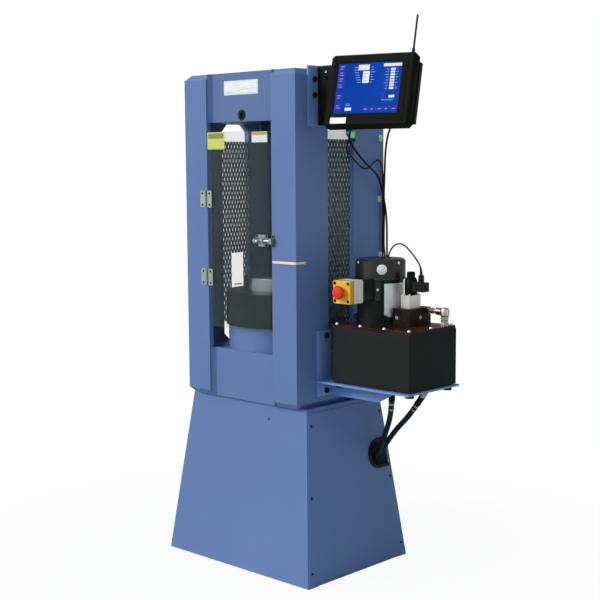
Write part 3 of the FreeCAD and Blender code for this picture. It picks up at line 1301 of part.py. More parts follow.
def beside(*points):
    """Points of a route given from the right column's outer face and the pedestal's top."""
    return [(float(half_width) + x, y, float(s.pedestal_height) + z) for x, y, z in points]


def below(*points):
    """Points of a route given from the machine's middle and the pedestal's top."""
    return [(x, y, float(s.pedestal_height) + z) for x, y, z in points]


port_x, port_y = first_port
cord("pressure_hose", [(port_x, port_y, port_end), (port_x, port_y, port_end - 62)] + beside(
    (89, 94, -102), (33, 122, -184)) + below(
    (190, 112, -250), (100, 70, -268), (28, 22, -210), (0, 0, -125), (0, 0, -45)), s.hose_radius)
cord("return_hose", [tuple(return_start), tuple(return_aim)] + beside(
    (121, 100, -85), (27, 146, -174)) + below(
    (185, 158, -228), (110, 130, -238), (66, 70, -190), (60, 30, -115), (60, 30, -45)), s.hose_radius)


def screen_end(name, away):
    """The end of a cable at its socket on the screen, and the next point straight behind it."""
    across, up = plug_spots[name]
    return [tuple(from_screen(across, plug_back, up)), tuple(from_screen(across, plug_back + away, up))]


cord("controller_cable", screen_end("controller", 30) + beside(
    (67, -52, 800), (52, -20, 754), (46, 30, 715), (39, 82, 684), (30, 130, 663), (18, 170, 603),
    (14.5, 190, 530), (14, 191, 465), (15, 190, 400), (27, 184, 345), (69, 170, 306),
    (121, 163, 286), (181, 155, 275)) + [(sensor_x, sensor_end + 28, sensor_level), (sensor_x, sensor_end, sensor_level)],
    s.cable_radius)
cord("power_cable", screen_end("power", 28) + beside(
    (201, 0, 808), (156, 55, 806), (106, 105, 806), (56, 155, 802), (21, 182, 772), (11.5, 185, 725),
    (9.5, 184.5, 665), (7.5, 183.5, 600), (9, 184, 535), (7.5, 183.5, 475), (9, 184, 430),
    (23, 181, 388), (58, 170, 358), (97, 154, 342)) + [
    (s.motor_place - 8, gland_out + 28, gland_level), (s.motor_place - 8, gland_out, gland_level)], s.cable_radius)
cord("solenoid_lead", screen_end("lead", 25) + beside(
    (106, -50, 800), (63, -42, 766), (35, -18, 732), (28, 15, 715), (25, 46, 694), (23, 72, 680),
    (23, 98, 683), (17, 128, 702), (13, 156, 708), (10, 175, 684), (10.5, 176, 640),
    (9.5, 176.5, 585), (10.5, 176, 530), (9.5, 176.5, 475), (11, 174, 428), (31, 158, 390),
    (71, 125, 390), (99, 92, 424), (121, 80, 454), (156, 68, 471), (191, 56, 466), (223, 42, 450),
    (251, 33, 430)) + [
    (gland_x, gland_y, gland_top + 21), (gland_x, gland_y, gland_top)], s.lead_radius)

# Check every object, then write the files

doc.recompute()
for item in doc.Objects:
    if "Invalid" in item.State or "Error" in item.State:
        raise RuntimeError(item.Label + " is " + " ".join(item.State))
    if hasattr(item, "Shape") and not item.isDerivedFrom("Sketcher::SketchObject"):
        if item.isDerivedFrom("App::Origin") or item.isDerivedFrom("App::DatumElement"):
            continue
        if item.Shape.isNull() or not item.Shape.isValid():
            raise RuntimeError(item.Label + " has no valid shape")

labels = [piece.Label for piece in NODES]
if len(set(labels)) != len(labels):
    raise RuntimeError("two nodes share a name")
os.makedirs("parts", exist_ok=True)
for piece in NODES:
    if not piece.Shape.Solids:
        raise RuntimeError(piece.Label + " holds no solid")
    piece.Shape.exportStep(os.path.join("parts", piece.Label + ".step"))
print(len(NODES), "nodes written")
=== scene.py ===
from math import cos, pi, radians, sin

import bmesh
import bpy
from bpy.props import FloatProperty, FloatVectorProperty, IntProperty, PointerProperty
from mathutils import Matrix, Vector


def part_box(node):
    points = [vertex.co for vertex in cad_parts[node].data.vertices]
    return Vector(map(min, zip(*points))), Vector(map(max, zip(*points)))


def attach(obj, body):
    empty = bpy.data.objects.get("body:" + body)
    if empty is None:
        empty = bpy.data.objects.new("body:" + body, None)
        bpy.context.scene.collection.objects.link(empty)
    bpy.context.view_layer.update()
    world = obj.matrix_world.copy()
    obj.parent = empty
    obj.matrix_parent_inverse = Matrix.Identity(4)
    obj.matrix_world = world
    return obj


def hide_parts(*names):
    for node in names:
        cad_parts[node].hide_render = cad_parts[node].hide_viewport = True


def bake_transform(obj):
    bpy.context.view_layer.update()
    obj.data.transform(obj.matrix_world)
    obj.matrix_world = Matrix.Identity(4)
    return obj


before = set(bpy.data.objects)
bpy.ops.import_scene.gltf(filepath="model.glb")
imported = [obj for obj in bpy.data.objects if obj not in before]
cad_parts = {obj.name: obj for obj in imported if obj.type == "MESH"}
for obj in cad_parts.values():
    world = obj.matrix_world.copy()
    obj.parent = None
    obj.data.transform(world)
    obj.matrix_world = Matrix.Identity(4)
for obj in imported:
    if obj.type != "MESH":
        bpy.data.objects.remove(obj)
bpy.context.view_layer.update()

bl_info = {
    "name": "Concrete compression tester",
    "version": (1, 0, 0),
    "blender": (4, 5, 0),
    "location": "3D View > Sidebar > Tester",
    "description": "Finishes, fine parts, cords and stage of a concrete compression testing machine",
    "category": "Object",
}

MM = 0.001

# Places and sizes of the main parts, in millimetres


def box_of(node):
    """Lowest and highest corner of a node."""
    return [Vector(corner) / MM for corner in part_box(node)]


def middle(box):
    """Middle of a box in X and Y."""
    return ((box[0].x + box[1].x) / 2, (box[0].y + box[1].y) / 2)


DOOR = box_of("door_panel")
COLUMN = box_of("column_right")
LATCH = box_of("latch_body")
KEEPER = box_of("latch_keeper")
FAN = box_of("fan_cover")
VALVE = box_of("valve_body")
LID = box_of("tank_lid")
STOP = box_of("stop_cover")
ARM = box_of("tilt_arm")
PEDESTAL = box_of("pedestal_shell")
MOTOR = middle(FAN)
COIL = middle(VALVE)
MOTOR_RADIUS = 66
LEAF = 2.5
ARM_FACE = -106.5
NAME_PLATE_BACK = -173.8
STRIP_LEVEL = 919.5
RETURN_PIPE = (549, 72, 785)

# The screen's own frame: X across it, Y into it and Z up it, from the pivot of its tilt

SCREEN = (Matrix.Translation((421.706, -72.300, 1379.495)) @ Matrix.Rotation(radians(15.9), 4, "Z")
          @ Matrix.Rotation(radians(-16.4), 4, "X"))
GLASS_FRONT = -61
BEZEL_FRONT = -62
HOUSING_BACK = -16
HOUSING_SIDE = 131

# Directions towards the bright parts of the room that shiny surfaces mirror

LAMP_SIDE = (-0.40, -0.62, 0.68)
LAMP_BESIDE = (0.86, 0.48, 0.17)

# The test chamber's half width, half depth, foot and top, in metres; its walls lie in shade, which the enamel
# paints into its colour

CHAMBER = (0.2115, 0.174, 0.70, 1.284)

# Sizes and colours that a user would change


def colour(name, description, value):
    """A colour setting."""
    return FloatVectorProperty(name=name, description=description, subtype="COLOR", size=3, min=0, max=1,
                               default=value)


def length(name, description, value):
    """A length setting in metres."""
    return FloatProperty(name=name, description=description, default=value, unit="LENGTH", min=0.0001,
                         precision=4)


class TesterColours(bpy.types.PropertyGroup):
    """Colours of the machine's finishes."""

    enamel: colour("Blue enamel", "Paint of the frame, pedestal and brackets", (0.137, 0.213, 0.470))
    charcoal: colour("Charcoal coat", "Matt coat of the oil tank", (0.017, 0.017, 0.0175))
    satin: colour("Satin black", "Paint of the motor and its boxes", (0.008, 0.0085, 0.009))
    skirt: colour("Blued steel", "Dust skirt over the cylinder", (0.0062, 0.0078, 0.0092))
    zinc: colour("Zinc", "Plated screws and latch bolt", (0.70, 0.71, 0.70))
    yellow: colour("Yellow", "Cover of the stop button's box", (1.0, 0.56, 0.03))
    red: colour("Red", "Mushroom of the stop button", (0.93, 0.030, 0.010))
    page: colour("Screen", "Lit background of the screen", (0.006, 0.052, 0.370))
    floor: colour("Floor", "Studio floor", (0.72, 0.73, 0.73))


class TesterSizes(bpy.types.PropertyGroup):
    """Sizes of the fine parts."""

    mesh_long: length("Mesh long way", "Length of one opening of the expanded metal", 0.0286)
    mesh_short: length("Mesh short way", "Width of one opening of the expanded metal", 0.0127)
    strand: length("Strand", "Width of a strand of the expanded metal", 0.0046)
    sheet: length("Mesh sheet", "Thickness of a strand of the expanded metal", 0.0013)
    label: length("Label", "Thickness of the bare labels", 0.0004)
    hose: length("Hose", "Diameter of the two hoses", 0.016)
    cable: length("Cable", "Diameter of the control cables", 0.006)
    lead: length("Lead", "Diameter of the solenoid's lead", 0.0044)
    cord_sides: IntProperty(name="Cord sides", description="Faces round a cable", default=14, min=6, max=48)


def colours():
    return bpy.context.scene.tester_colours


def sizes():
    return bpy.context.scene.tester_sizes


# Shader maths


class Term:
    """One socket of a node tree; sums, products and tests of terms add Math nodes."""

    def __init__(self, nodes, socket):
        self.nodes = nodes
        self.socket = socket

    def maths(self, operation, *values):
        return self.nodes.add("ShaderNodeMath", {"operation": operation}, dict(enumerate(values)))

    def __add__(self, other):
        return self.maths("ADD", self, other)

    __radd__ = __add__

    def __sub__(self, other):
        return self.maths("SUBTRACT", self, other)

    def __rsub__(self, other):
        return self.maths("SUBTRACT", other, self)

    def __mul__(self, other):
        return self.maths("MULTIPLY", self, other)

    def __gt__(self, other):
        return self.maths("GREATER_THAN", self, other)

    def __lt__(self, other):
        return self.maths("LESS_THAN", self, other)

    def __abs__(self):
        return self.maths("ABSOLUTE", self)

    def smooth(self, low, high):
        """0 below low, 1 above high, and a soft step between them."""
        return self.nodes.add("ShaderNodeMapRange", {"interpolation_type": "SMOOTHSTEP"},
                               {0: self, 1: low, 2: high, 3: 0.0, 4: 1.0})


class Nodes:
    """A node tree of a material or the world, written as expressions."""

    def __init__(self, owner):
        owner.use_nodes = True
        self.tree = owner.node_tree
        self.tree.nodes.clear()

    def fill(self, node, key, value):
        """Set or link one input of a node."""
        socket = node.inputs[key]
        if isinstance(value, Term):
            self.tree.links.new(value.socket, socket)
        elif socket.type == "RGBA" and len(value) == 3:
            socket.default_value = (*value, 1)
        else:
            socket.default_value = value

    def add(self, kind, settings=None, values=None, output=0):
        """Any node: its type, its settings, its sockets' values or links, and the output wanted."""
        node = self.tree.nodes.new(kind)
        for key, value in (settings or {}).items():
            setattr(node, key, value)
        for key, value in (values or {}).items():
            self.fill(node, key, value)
        return Term(self, node.outputs[output]) if node.outputs else None

    def mix(self, factor, first, second):
        """A shader between two shaders."""
        return self.add("ShaderNodeMixShader", None, {0: factor, 1: first, 2: second})

    def light_path(self, kind):
        """1 for the rays of one kind."""
        return self.add("ShaderNodeLightPath", output=kind)

    def seen(self):
        """1 for what the camera sees, also through a clear sheet."""
        return (self.light_path("Is Camera Ray") + self.light_path("Is Transmission Ray")) > 0.5

    def spot(self):
        """The place on the object, in metres."""
        return self.add("ShaderNodeTexCoord", output="Object")

    def part(self, axis):
        """One coordinate of the place on the object."""
        return self.add("ShaderNodeSeparateXYZ", values={0: self.spot()}, output=axis)

    def stretched(self, x, y, z):
        """The place with each coordinate scaled by its own number."""
        return self.add("ShaderNodeVectorMath", {"operation": "MULTIPLY"}, {0: self.spot(), 1: (x, y, z)})

    def dot(self, first, second):
        """The dot product of two vectors."""
        return self.add("ShaderNodeVectorMath", {"operation": "DOT_PRODUCT"}, {0: first, 1: second}, output=1)

    def reach(self):
        """The distance from the machine's upright axis, in metres."""
        level = self.stretched(1, 1, 0)
        return self.add("ShaderNodeVectorMath", {"operation": "LENGTH"}, {0: level}, output=1)

    def noise(self, scale, detail=2.0, vector=None):
        """Soft blotches, finer with a larger scale."""
        return self.add("ShaderNodeTexNoise", None,
                        {"Vector": vector or self.spot(), "Scale": scale, "Detail": detail})

    def cells(self, scale):
        """Small cells, 0 in the middle of each."""
        return self.add("ShaderNodeTexVoronoi", None, {"Vector": self.spot(), "Scale": scale})

    def blend(self, factor, first, second):
        """A colour between two colours."""
        return self.add("ShaderNodeMix", {"data_type": "RGBA"}, {0: factor, 6: first, 7: second}, output=2)


class Finish(Nodes):
    """One material."""

    def __init__(self, name, **fixed):
        self.material = bpy.data.materials.new(name)
        super().__init__(self.material)
        self.surface = self.add("ShaderNodeBsdfPrincipled")
        self.set(**fixed)

    def set(self, **values):
        """Set or link the shader's sockets; underscores stand for spaces."""
        for name, value in values.items():
            self.fill(self.surface.socket.node, name.replace("_", " "), value)
        return self

    def end(self, shader=None):
        """Send the shader to the material's output."""
        self.add("ShaderNodeOutputMaterial", None, {0: shader or self.surface})
        return self.material

    def edge(self, radius, low=0.1, high=0.9):
        """1 on a sharp outer edge and 0 away from it."""
        bevel = self.add("ShaderNodeBevel", {"samples": 4}, {"Radius": radius})
        flat = self.add("ShaderNodeNewGeometry", output="Normal")
        near = 1 - self.dot(bevel, flat)
        return (near * 5).smooth(low, high)

    def bump(self, height, depth, strength=1.0, edge=None):
        """Relief from a height between 0 and 1, with the depth in metres."""
        values = {"Height": height, "Distance": depth, "Strength": strength}
        if edge:
            values["Normal"] = self.add("ShaderNodeBevel", {"samples": 4}, {"Radius": edge})
        return self.set(Normal=self.add("ShaderNodeBump", None, values))


def tone(shade, factor):
    """A colour made lighter or darker."""
    return tuple(min(1.0, value * factor) for value in shade)


def chosen(shade):
    """A colour given as numbers, or by the name of a setting."""
    return tuple(getattr(colours(), shade)) if isinstance(shade, str) else shade


def enamel(name, lighter, edge_wear_and_highlight, chamber=False):
    """Sprayed blue enamel: orange peel, a slow drift of tone, painted highlights on its rounded edges and,
    when asked, painted shade inside the test chamber.
    """
    blue = tone(colours().enamel, lighter)
    coat = Finish(name, Specular_IOR_Level=0.32)
    drift = coat.noise(2.6, 3).smooth(0.3, 0.7)
    speck = coat.noise(900, 1).smooth(0.35, 0.65)
    body = coat.blend(drift, tone(blue, 0.95), tone(blue, 1.05))
    body = coat.blend(speck * 0.25, body, tone(blue, 0.90))
    # Painted shade: inside the chamber the enamel is darkened towards a deep navy
    if chamber:
        wide, deep, foot, top = CHAMBER
        height = coat.part("Z")
        inside = (abs(coat.part("X")) < wide) * (abs(coat.part("Y")) < deep)
        body = coat.blend(inside * (height > foot) * (height < top) * 0.72, body, (0.030, 0.042, 0.060))
    # Painted highlight: rounded edges lightened towards pale blue, where they would catch the light
    body = coat.blend(coat.edge(0.0016, 0.05) * edge_wear_and_highlight, body, (0.36, 0.46, 0.78))
    coat.set(Base_Color=body, Roughness=0.36 + coat.noise(14, 2) * 0.10)
    return coat.bump(coat.noise(230, 2), 0.00006, 0.5, edge=0.0014)


def charcoal(name):
    """Matt textured coat of the tank."""
    shade = colours().charcoal
    coat = Finish(name, Specular_IOR_Level=0.12)
    grain = coat.noise(700, 2)
    body = coat.blend(grain.smooth(0.35, 0.65), tone(shade, 0.82), tone(shade, 1.2))
    body = coat.blend(coat.edge(0.0012) * 0.35, body, (0.075, 0.074, 0.072))
    coat.set(Base_Color=body, Roughness=0.62 + coat.noise(20, 2) * 0.12)
    return coat.bump(grain, 0.00012, 0.7, edge=0.0012)


def satin(name, lighter, gloss, rough):
    """Satin black paint with a faint warm cast, dust and painted highlights on its edges."""
    coat = Finish(name, Specular_IOR_Level=gloss)
    warm = coat.noise(9, 2).smooth(0.35, 0.7)
    dust = coat.noise(420, 2).smooth(0.62, 0.8)
    body = coat.blend(warm, tone(colours().satin, lighter), tone((0.013, 0.0105, 0.0095), lighter))
    body = coat.blend(dust * 0.12, body, (0.08, 0.075, 0.07))
    # Painted highlight: edges lightened to a warm grey
    body = coat.blend(coat.edge(0.001) * 0.55, body, (0.15, 0.12, 0.105))
    coat.set(Base_Color=body, Roughness=rough + coat.noise(18, 3) * 0.14)
    return coat.bump(coat.noise(320, 2), 0.00005, 0.5, edge=0.001)


def lid_coat(name):
    """Brown-black gloss of the tank lid with a thin film of oil and painted highlights on its edges."""
    coat = Finish(name, Specular_IOR_Level=0.14)
    film = coat.noise(16, 3).smooth(0.4, 0.65)
    body = coat.blend(film, (0.025, 0.0075, 0.0045), (0.048, 0.018, 0.010))
    # Painted highlight: the lid's edges lightened to a warm brown
    body = coat.blend(coat.edge(0.002, 0.05, 0.8) * 0.7, body, (0.17, 0.10, 0.075))
    coat.set(Base_Color=body, Roughness=0.22 + film * 0.16)
    return coat.bump(coat.noise(260, 2), 0.00005, 0.5, edge=0.001)


def blued(name):
    """Blued sheet of the skirt with fine drawing marks."""
    shade = colours().skirt
    coat = Finish(name, Specular_IOR_Level=0.11)
    marks = coat.noise(60, 2, coat.stretched(6, 6, 0.3)).smooth(0.3, 0.7)
    body = coat.blend(marks, tone(shade, 0.8), tone(shade, 1.25))
    coat.set(Base_Color=body, Roughness=0.42 + marks * 0.12)
    return coat.bump(coat.noise(300, 2), 0.00005, 0.4, edge=0.001)


def metal(name, shade, rough, marks=(1, 1, 12), grain=240, stain=0.25):
    """A bare or plated metal with fine marks in one direction."""
    base = chosen(shade)
    coat = Finish(name, Metallic=1.0)
    line = coat.noise(grain, 2, coat.stretched(*marks))
    patch = coat.noise(30, 3).smooth(0.35, 0.7)
    body = coat.blend(patch * stain, base, tone(base, 0.62))
    body = coat.blend(line.smooth(0.35, 0.65) * 0.25, body, tone(base, 1.18))
    coat.set(Base_Color=body, Roughness=rough + line * 0.14 + patch * 0.06)
    return coat.bump(line, 0.00004, 0.5, edge=0.0006)


def turned_steel(name):
    """Ground steel of the platen: rings round the machine's axis on the face, fine lines on the rim."""
    coat = Finish(name, Metallic=1.0)
    rings = coat.add("ShaderNodeTexNoise", {"noise_dimensions": "1D"}, {"W": coat.reach() * 900, "Detail": 2})
    rim = coat.noise(180, 2, coat.stretched(0.4, 0.4, 14))
    body = coat.blend(rings.smooth(0.3, 0.7), (0.38, 0.39, 0.41), (0.56, 0.57, 0.59))
    body = coat.blend(coat.noise(22, 3).smooth(0.55, 0.75) * 0.35, body, (0.30, 0.28, 0.26))
    coat.set(Base_Color=body, Roughness=0.20 + rim * 0.06)
    return coat.bump(rings * 0.5 + rim * 0.5, 0.000012, 0.3, edge=0.0006)


def oxide(name, dark, light, edge_wear_and_highlight):
    """Black oxide with brighter corners."""
    coat = Finish(name, Metallic=0.1, Specular_IOR_Level=0.12)
    patch = coat.noise(60, 3).smooth(0.35, 0.7)
    body = coat.blend(coat.edge(0.0008) * 0.6, coat.blend(patch, dark, light), edge_wear_and_highlight)
    coat.set(Base_Color=body, Roughness=0.32 + patch * 0.14)
    return coat.bump(coat.noise(380, 2), 0.00005, 0.5, edge=0.0008)


def moulded(name, shade, rough, gloss=0.45, grain=260, depth=0.00005, light=1.4):
    """A moulded plastic with a fine grain and painted highlights on its edges."""
    base = chosen(shade)
    coat = Finish(name, Specular_IOR_Level=gloss)
    spark = coat.noise(grain, 2)
    body = coat.blend(coat.noise(12, 2).smooth(0.3, 0.7), tone(base, 0.93), tone(base, 1.06))
    # Painted highlight: edges lightened by the given factor
    body = coat.blend(coat.edge(0.0009) * 0.3, body, tone(base, light))
    coat.set(Base_Color=body, Roughness=rough + spark * 0.10)
    return coat.bump(spark, depth, 0.5, edge=0.0009)


def rubber(name):
    """Black rubber with a dull bloom."""
    coat = Finish(name, Specular_IOR_Level=0.2)
    bloom = coat.noise(40, 3).smooth(0.4, 0.7)
    body = coat.blend(bloom, (0.005, 0.005, 0.006), (0.014, 0.014, 0.015))
    coat.set(Base_Color=body, Roughness=0.5 + bloom * 0.15)
    return coat.bump(coat.noise(600, 2), 0.00006, 0.6)


def braid(name):
    """Hose cover: a fine wrap pattern in black rubber."""
    coat = Finish(name, Specular_IOR_Level=0.35)
    weave = coat.cells(420)
    body = coat.blend(weave.smooth(0.1, 0.6), (0.020, 0.019, 0.019), (0.011, 0.011, 0.012))
    coat.set(Base_Color=body, Roughness=0.40 + coat.noise(50, 2) * 0.15)
    return coat.bump(weave, 0.00015, 0.5)


def smoke(name):
    """Lightly smoked polycarbonate with wiping marks; its grey diffuse colour is partly smoke tint and partly
    a painted reflection of the room.
    """
    coat = Finish(name, Specular_IOR_Level=0.5)
    wipe = coat.noise(9, 3, coat.stretched(1, 1, 0.35)).smooth(0.4, 0.75)
    rim = coat.edge(0.002, 0.05, 0.8)
    # Painted reflection: a pale grey diffuse veil at low alpha stands for the room mirrored in the sheet
    body = coat.blend(wipe, (0.125, 0.158, 0.170), (0.160, 0.190, 0.205))
    body = coat.blend(rim * 0.6, body, (0.05, 0.07, 0.08))
    return coat.set(Base_Color=body, Roughness=0.06 + wipe * 0.05, Alpha=0.13 + wipe * 0.02 + rim * 0.4)


def rear_sheet(name):
    """Clear sheet of the rear guard with dusty blotches, more opaque towards its foot."""
    coat = Finish(name, Specular_IOR_Level=0.3)
    dust = coat.noise(14, 3).smooth(0.3, 0.7)
    low = 1 - coat.part("Z").smooth(0.85, 1.30)
    body = coat.blend(dust, (0.05, 0.075, 0.11), (0.08, 0.11, 0.15))
    return coat.set(Base_Color=body, Roughness=0.25 + dust * 0.2, Alpha=0.26 + low * 0.34 + dust * 0.08)


def stop_paint(name):
    """Yellow cover of the stop button's box, with painted shade: its right side is painted orange."""
    shade = colours().yellow
    coat = Finish(name, Specular_IOR_Level=0.5)
    # Painted shade: faces at the cover's right side turn orange
    side = coat.part("X") > (STOP[1].x - 0.5) * MM
    grain = coat.noise(220, 2)
    body = coat.blend(coat.noise(12, 2).smooth(0.3, 0.7), tone(shade, 0.96), tone(shade, 1.04))
    coat.set(Base_Color=coat.blend(side, body, (0.98, 0.33, 0.012)), Roughness=0.22 + grain * 0.1)
    return coat.bump(grain, 0.00004, 0.5, edge=0.0009)


def lit(name, shade, scale=300, dark=(0.9, 1.05), base=0.04):
    """A part of the display that glows."""
    coat = Finish(name, Specular_IOR_Level=0.0, Emission_Strength=1.0)
    shade = chosen(shade)
    glow = coat.noise(scale, 1).smooth(0.2, 0.8)
    body = coat.blend(glow, *(tone(shade, factor) for factor in dark))
    return coat.set(Base_Color=tone(shade, base), Emission_Color=body, Roughness=0.35 + glow * 0.04)


def vinyl(name, shade):
    """A bare vinyl label with faint handling marks."""
    coat = Finish(name, Specular_IOR_Level=0.45)
    mark = coat.noise(55, 3).smooth(0.45, 0.75)
    coat.set(Base_Color=coat.blend(mark, shade, tone(shade, 0.90)), Roughness=0.35 + mark * 0.12)
    return coat.bump(coat.noise(500, 1), 0.00003, 0.3, edge=0.0004)


def foil(name, dark, light, metallic):
    """Brushed foil of a bare plate."""
    coat = Finish(name, Metallic=metallic, Specular_IOR_Level=0.5)
    line = coat.noise(500, 2, coat.stretched(0.05, 1, 1))
    coat.set(Base_Color=coat.blend(line.smooth(0.3, 0.7), dark, light), Roughness=0.38 + line * 0.1)
    return coat.bump(line, 0.00002, 0.4, edge=0.0004)


def strip_paint(name):
    """The pale pointer strip between its two red edges."""
    coat = Finish(name, Specular_IOR_Level=0.4)
    rim = abs(coat.part("Z") - STRIP_LEVEL * MM).smooth(0.0030, 0.0042)
    body = coat.blend(coat.noise(60, 2).smooth(0.3, 0.7), (0.92, 0.77, 0.80), (0.97, 0.86, 0.89))
    return coat.set(Base_Color=coat.blend(rim, body, (0.36, 0.07, 0.055)),
                    Roughness=0.35 + coat.noise(90, 2) * 0.1)


def mesh_steel(name):
    """Dark galvanised strands."""
    coat = Finish(name, Metallic=0.2, Specular_IOR_Level=0.3)
    patch = coat.noise(70, 3).smooth(0.35, 0.7)
    body = coat.blend(patch, (0.050, 0.075, 0.100), (0.110, 0.145, 0.175))
    coat.set(Base_Color=body, Roughness=0.48 + patch * 0.12)
    return coat.bump(coat.noise(500, 2), 0.00005, 0.5)


# Each finish: its function and what that is called with

MAKERS = {
    "blue_enamel": (enamel, 1.0, 0.6),
    "frame_enamel": (enamel, 1.0, 0.6, True),
    # A darker copy of the frame's enamel: painted shade on the crosshead
    "crosshead_enamel": (enamel, 0.84, 0.6, True),
    # A lighter copy of the enamel with stronger edges: painted light on the shaded brackets, shelf and screen
    # bracket
    "bracket_enamel": (enamel, 1.6, 0.9),
    "charcoal_coat": (charcoal,),
    "satin_black": (satin, 0.6, 0.24, 0.34),
    # A lighter copy of the motor's satin black: painted light on the fan cover, its rim and the motor clamp
    "fan_black": (satin, 1.35, 0.55, 0.24),
    "arm_black": (satin, 0.6, 0.12, 0.5),
    "lid_gloss": (lid_coat,),
    "blued_skirt": (blued,),
    "ground_steel": (turned_steel,),
    "ram_chrome": (metal, (0.66, 0.66, 0.65), 0.12, (1, 1, 0.4), 90, 0.1),
    "zinc_plate": (metal, "zinc", 0.28, (1, 1, 1), 160),
    "hinge_zinc": (metal, (0.34, 0.385, 0.38), 0.42, (1, 1, 3), 160, 0.5),
    "latch_zinc": (metal, (0.27, 0.31, 0.30), 0.42, (1, 1, 3), 160, 0.5),
    "expanded_steel": (mesh_steel,),
    "valve_steel": (metal, (0.80, 0.74, 0.73), 0.36, (6, 6, 1), 140, 0.3),
    "fitting_brass": (metal, (0.50, 0.44, 0.36), 0.16, (1, 1, 1), 130, 0.3),
    "pump_aluminium": (metal, (0.55, 0.55, 0.55), 0.38, (1, 1, 6), 120),
    "dark_iron": (metal, (0.075, 0.07, 0.066), 0.5, (1, 1, 1), 90, 0.6),
    "black_oxide": (oxide, (0.008, 0.008, 0.009), (0.018, 0.018, 0.020), (0.07, 0.07, 0.08)),
    "brown_oxide": (oxide, (0.016, 0.0075, 0.005), (0.030, 0.016, 0.011), (0.15, 0.10, 0.08)),
    "blackened_steel": (oxide, (0.020, 0.021, 0.023), (0.045, 0.046, 0.048), (0.16, 0.16, 0.17)),
    "black_plastic": (moulded, (0.008, 0.008, 0.0085), 0.42, 0.18, 500, 0.00005, 4),
    "coil_plastic": (moulded, (0.006, 0.006, 0.005), 0.40, 0.09, 500, 0.00005, 4),
    "bezel_plastic": (moulded, (0.0062, 0.0062, 0.0042), 0.55, 0.06, 900, 0.00008, 3.4),
    "yellow_plastic": (stop_paint,),
    "red_plastic": (moulded, "red", 0.12, 0.4, 160, 0.00002),
    "grey_plastic": (moulded, (1.0, 0.88, 0.84), 0.42, 0.9, 260, 0.00005, 1.05),
    "white_plastic": (moulded, (0.82, 0.90, 0.98), 0.42, 0.6, 260, 0.00005, 1.1),
    "green_plastic": (moulded, (0.05, 0.42, 0.15), 0.35, 0.4),
    "plug_blue": (moulded, (0.02, 0.06, 0.30), 0.35, 0.4),
    "rubber": (rubber,),
    "hose_cover": (braid,),
    "smoke_sheet": (smoke,),
    "rear_sheet": (rear_sheet,),
    "display_glass": (lit, "page", 7, (0.9, 1.1), 0.05),
    "field_white": (lit, (0.80, 0.86, 0.98)),
    "caption_pale": (lit, (0.20, 0.34, 0.80)),
    "button_violet": (lit, (0.035, 0.045, 0.42)),
    "button_mark": (lit, (0.32, 0.30, 0.88)),
    "field_sky": (lit, (0.05, 0.22, 0.62)),
    "label_yellow": (vinyl, (0.76, 0.70, 0.16)),
    "label_olive": (vinyl, (0.30, 0.29, 0.06)),
    "label_amber": (vinyl, (0.56, 0.40, 0.12)),
    "label_white": (vinyl, (0.86, 0.86, 0.88)),
    "label_motor": (foil, (0.86, 0.80, 0.83), (1.0, 0.93, 0.96), 0.6),
    "label_pink": (foil, (0.55, 0.50, 0.52), (0.72, 0.66, 0.68), 0.6),
    "plate_foil": (foil, (0.60, 0.64, 0.68), (0.80, 0.83, 0.86), 0.55),
    "strip_paint": (strip_paint,),
}
FINISHES = {}


def finish(name):
    """A finish by its name, made once."""
    if name not in FINISHES:
        maker, *settings = MAKERS[name]
        FINISHES[name] = maker(name, *settings).end()
    return FINISHES[name]


CAD_FINISHES = {
    "blue_enamel": "pedestal_shell pedestal_side_panels cylinder_body",
    "frame_enamel": "column_left column_right base_block",
    "crosshead_enamel": "crosshead",
    "bracket_enamel": "shelf shelf_brackets monitor_bracket",
    "charcoal_coat": "tank",
    "lid_gloss": "tank_lid",
    "satin_black": "motor_body conduit_box",
    "arm_black": "tilt_arm",
    "fan_black": "fan_cover",
    "rear_sheet": "rear_guard",
    "blued_skirt": "dust_skirt",
    "ground_steel": "lower_platen",
    "ram_chrome": "ram",
    "zinc_plate": "lid_screws latch_bolt",
    "hinge_zinc": "hinge_frame_leaves hinge_door_leaves",
    "latch_zinc": "latch_body latch_keeper",
    "black_oxide": "cover_screws platen_lock_screw door_screws frame_hinge_screws bolts platen_springs "
                   "platen_stem",
    "brown_oxide": "manifold",
    "blackened_steel": "upper_platen platen_seat",
    "valve_steel": "valve_body",
    "fitting_brass": "hydraulic_fittings",
    "pump_aluminium": "pump_body",
    "dark_iron": "motor_rotor",
    "black_plastic": "din_connector antenna",
    "coil_plastic": "solenoid_coil",
    "bezel_plastic": "monitor_housing",
    "yellow_plastic": "stop_cover",
    "grey_plastic": "stop_base",
    "red_plastic": "stop_button",
    "white_plastic": "cable_clips",
    "rubber": "hose_grommet tank_mounts ram_seals",
    "smoke_sheet": "door_panel",
    "display_glass": "monitor_screen",
}

# Mesh helpers: outlines and solids in millimetres


def smooth(thing, angle=35):
    """Shade a piece smooth up to an angle."""
    thing.data.shade_smooth()
    thing.data.set_sharp_from_angle(angle=radians(angle))
    return thing


def made(name, mesh, finishes):
    """Turn a mesh in millimetres into an object of the scene."""
    data = bpy.data.meshes.new(name)
    bmesh.ops.recalc_face_normals(mesh, faces=mesh.faces)
    mesh.to_mesh(data)
    mesh.free()
    data.transform(Matrix.Scale(MM, 4))
    for name_of_finish in finishes.split():
        data.materials.append(finish(name_of_finish))
    thing = bpy.data.objects.new(name, data)
    bpy.context.collection.objects.link(thing)
    return smooth(thing)


def piece(name, mesh, finishes, body, stands_for=()):
    """A made object that rides on a body."""
    thing = made(name, mesh, finishes)
    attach(thing, body)
    if stands_for:
        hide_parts(*stands_for)
    return thing


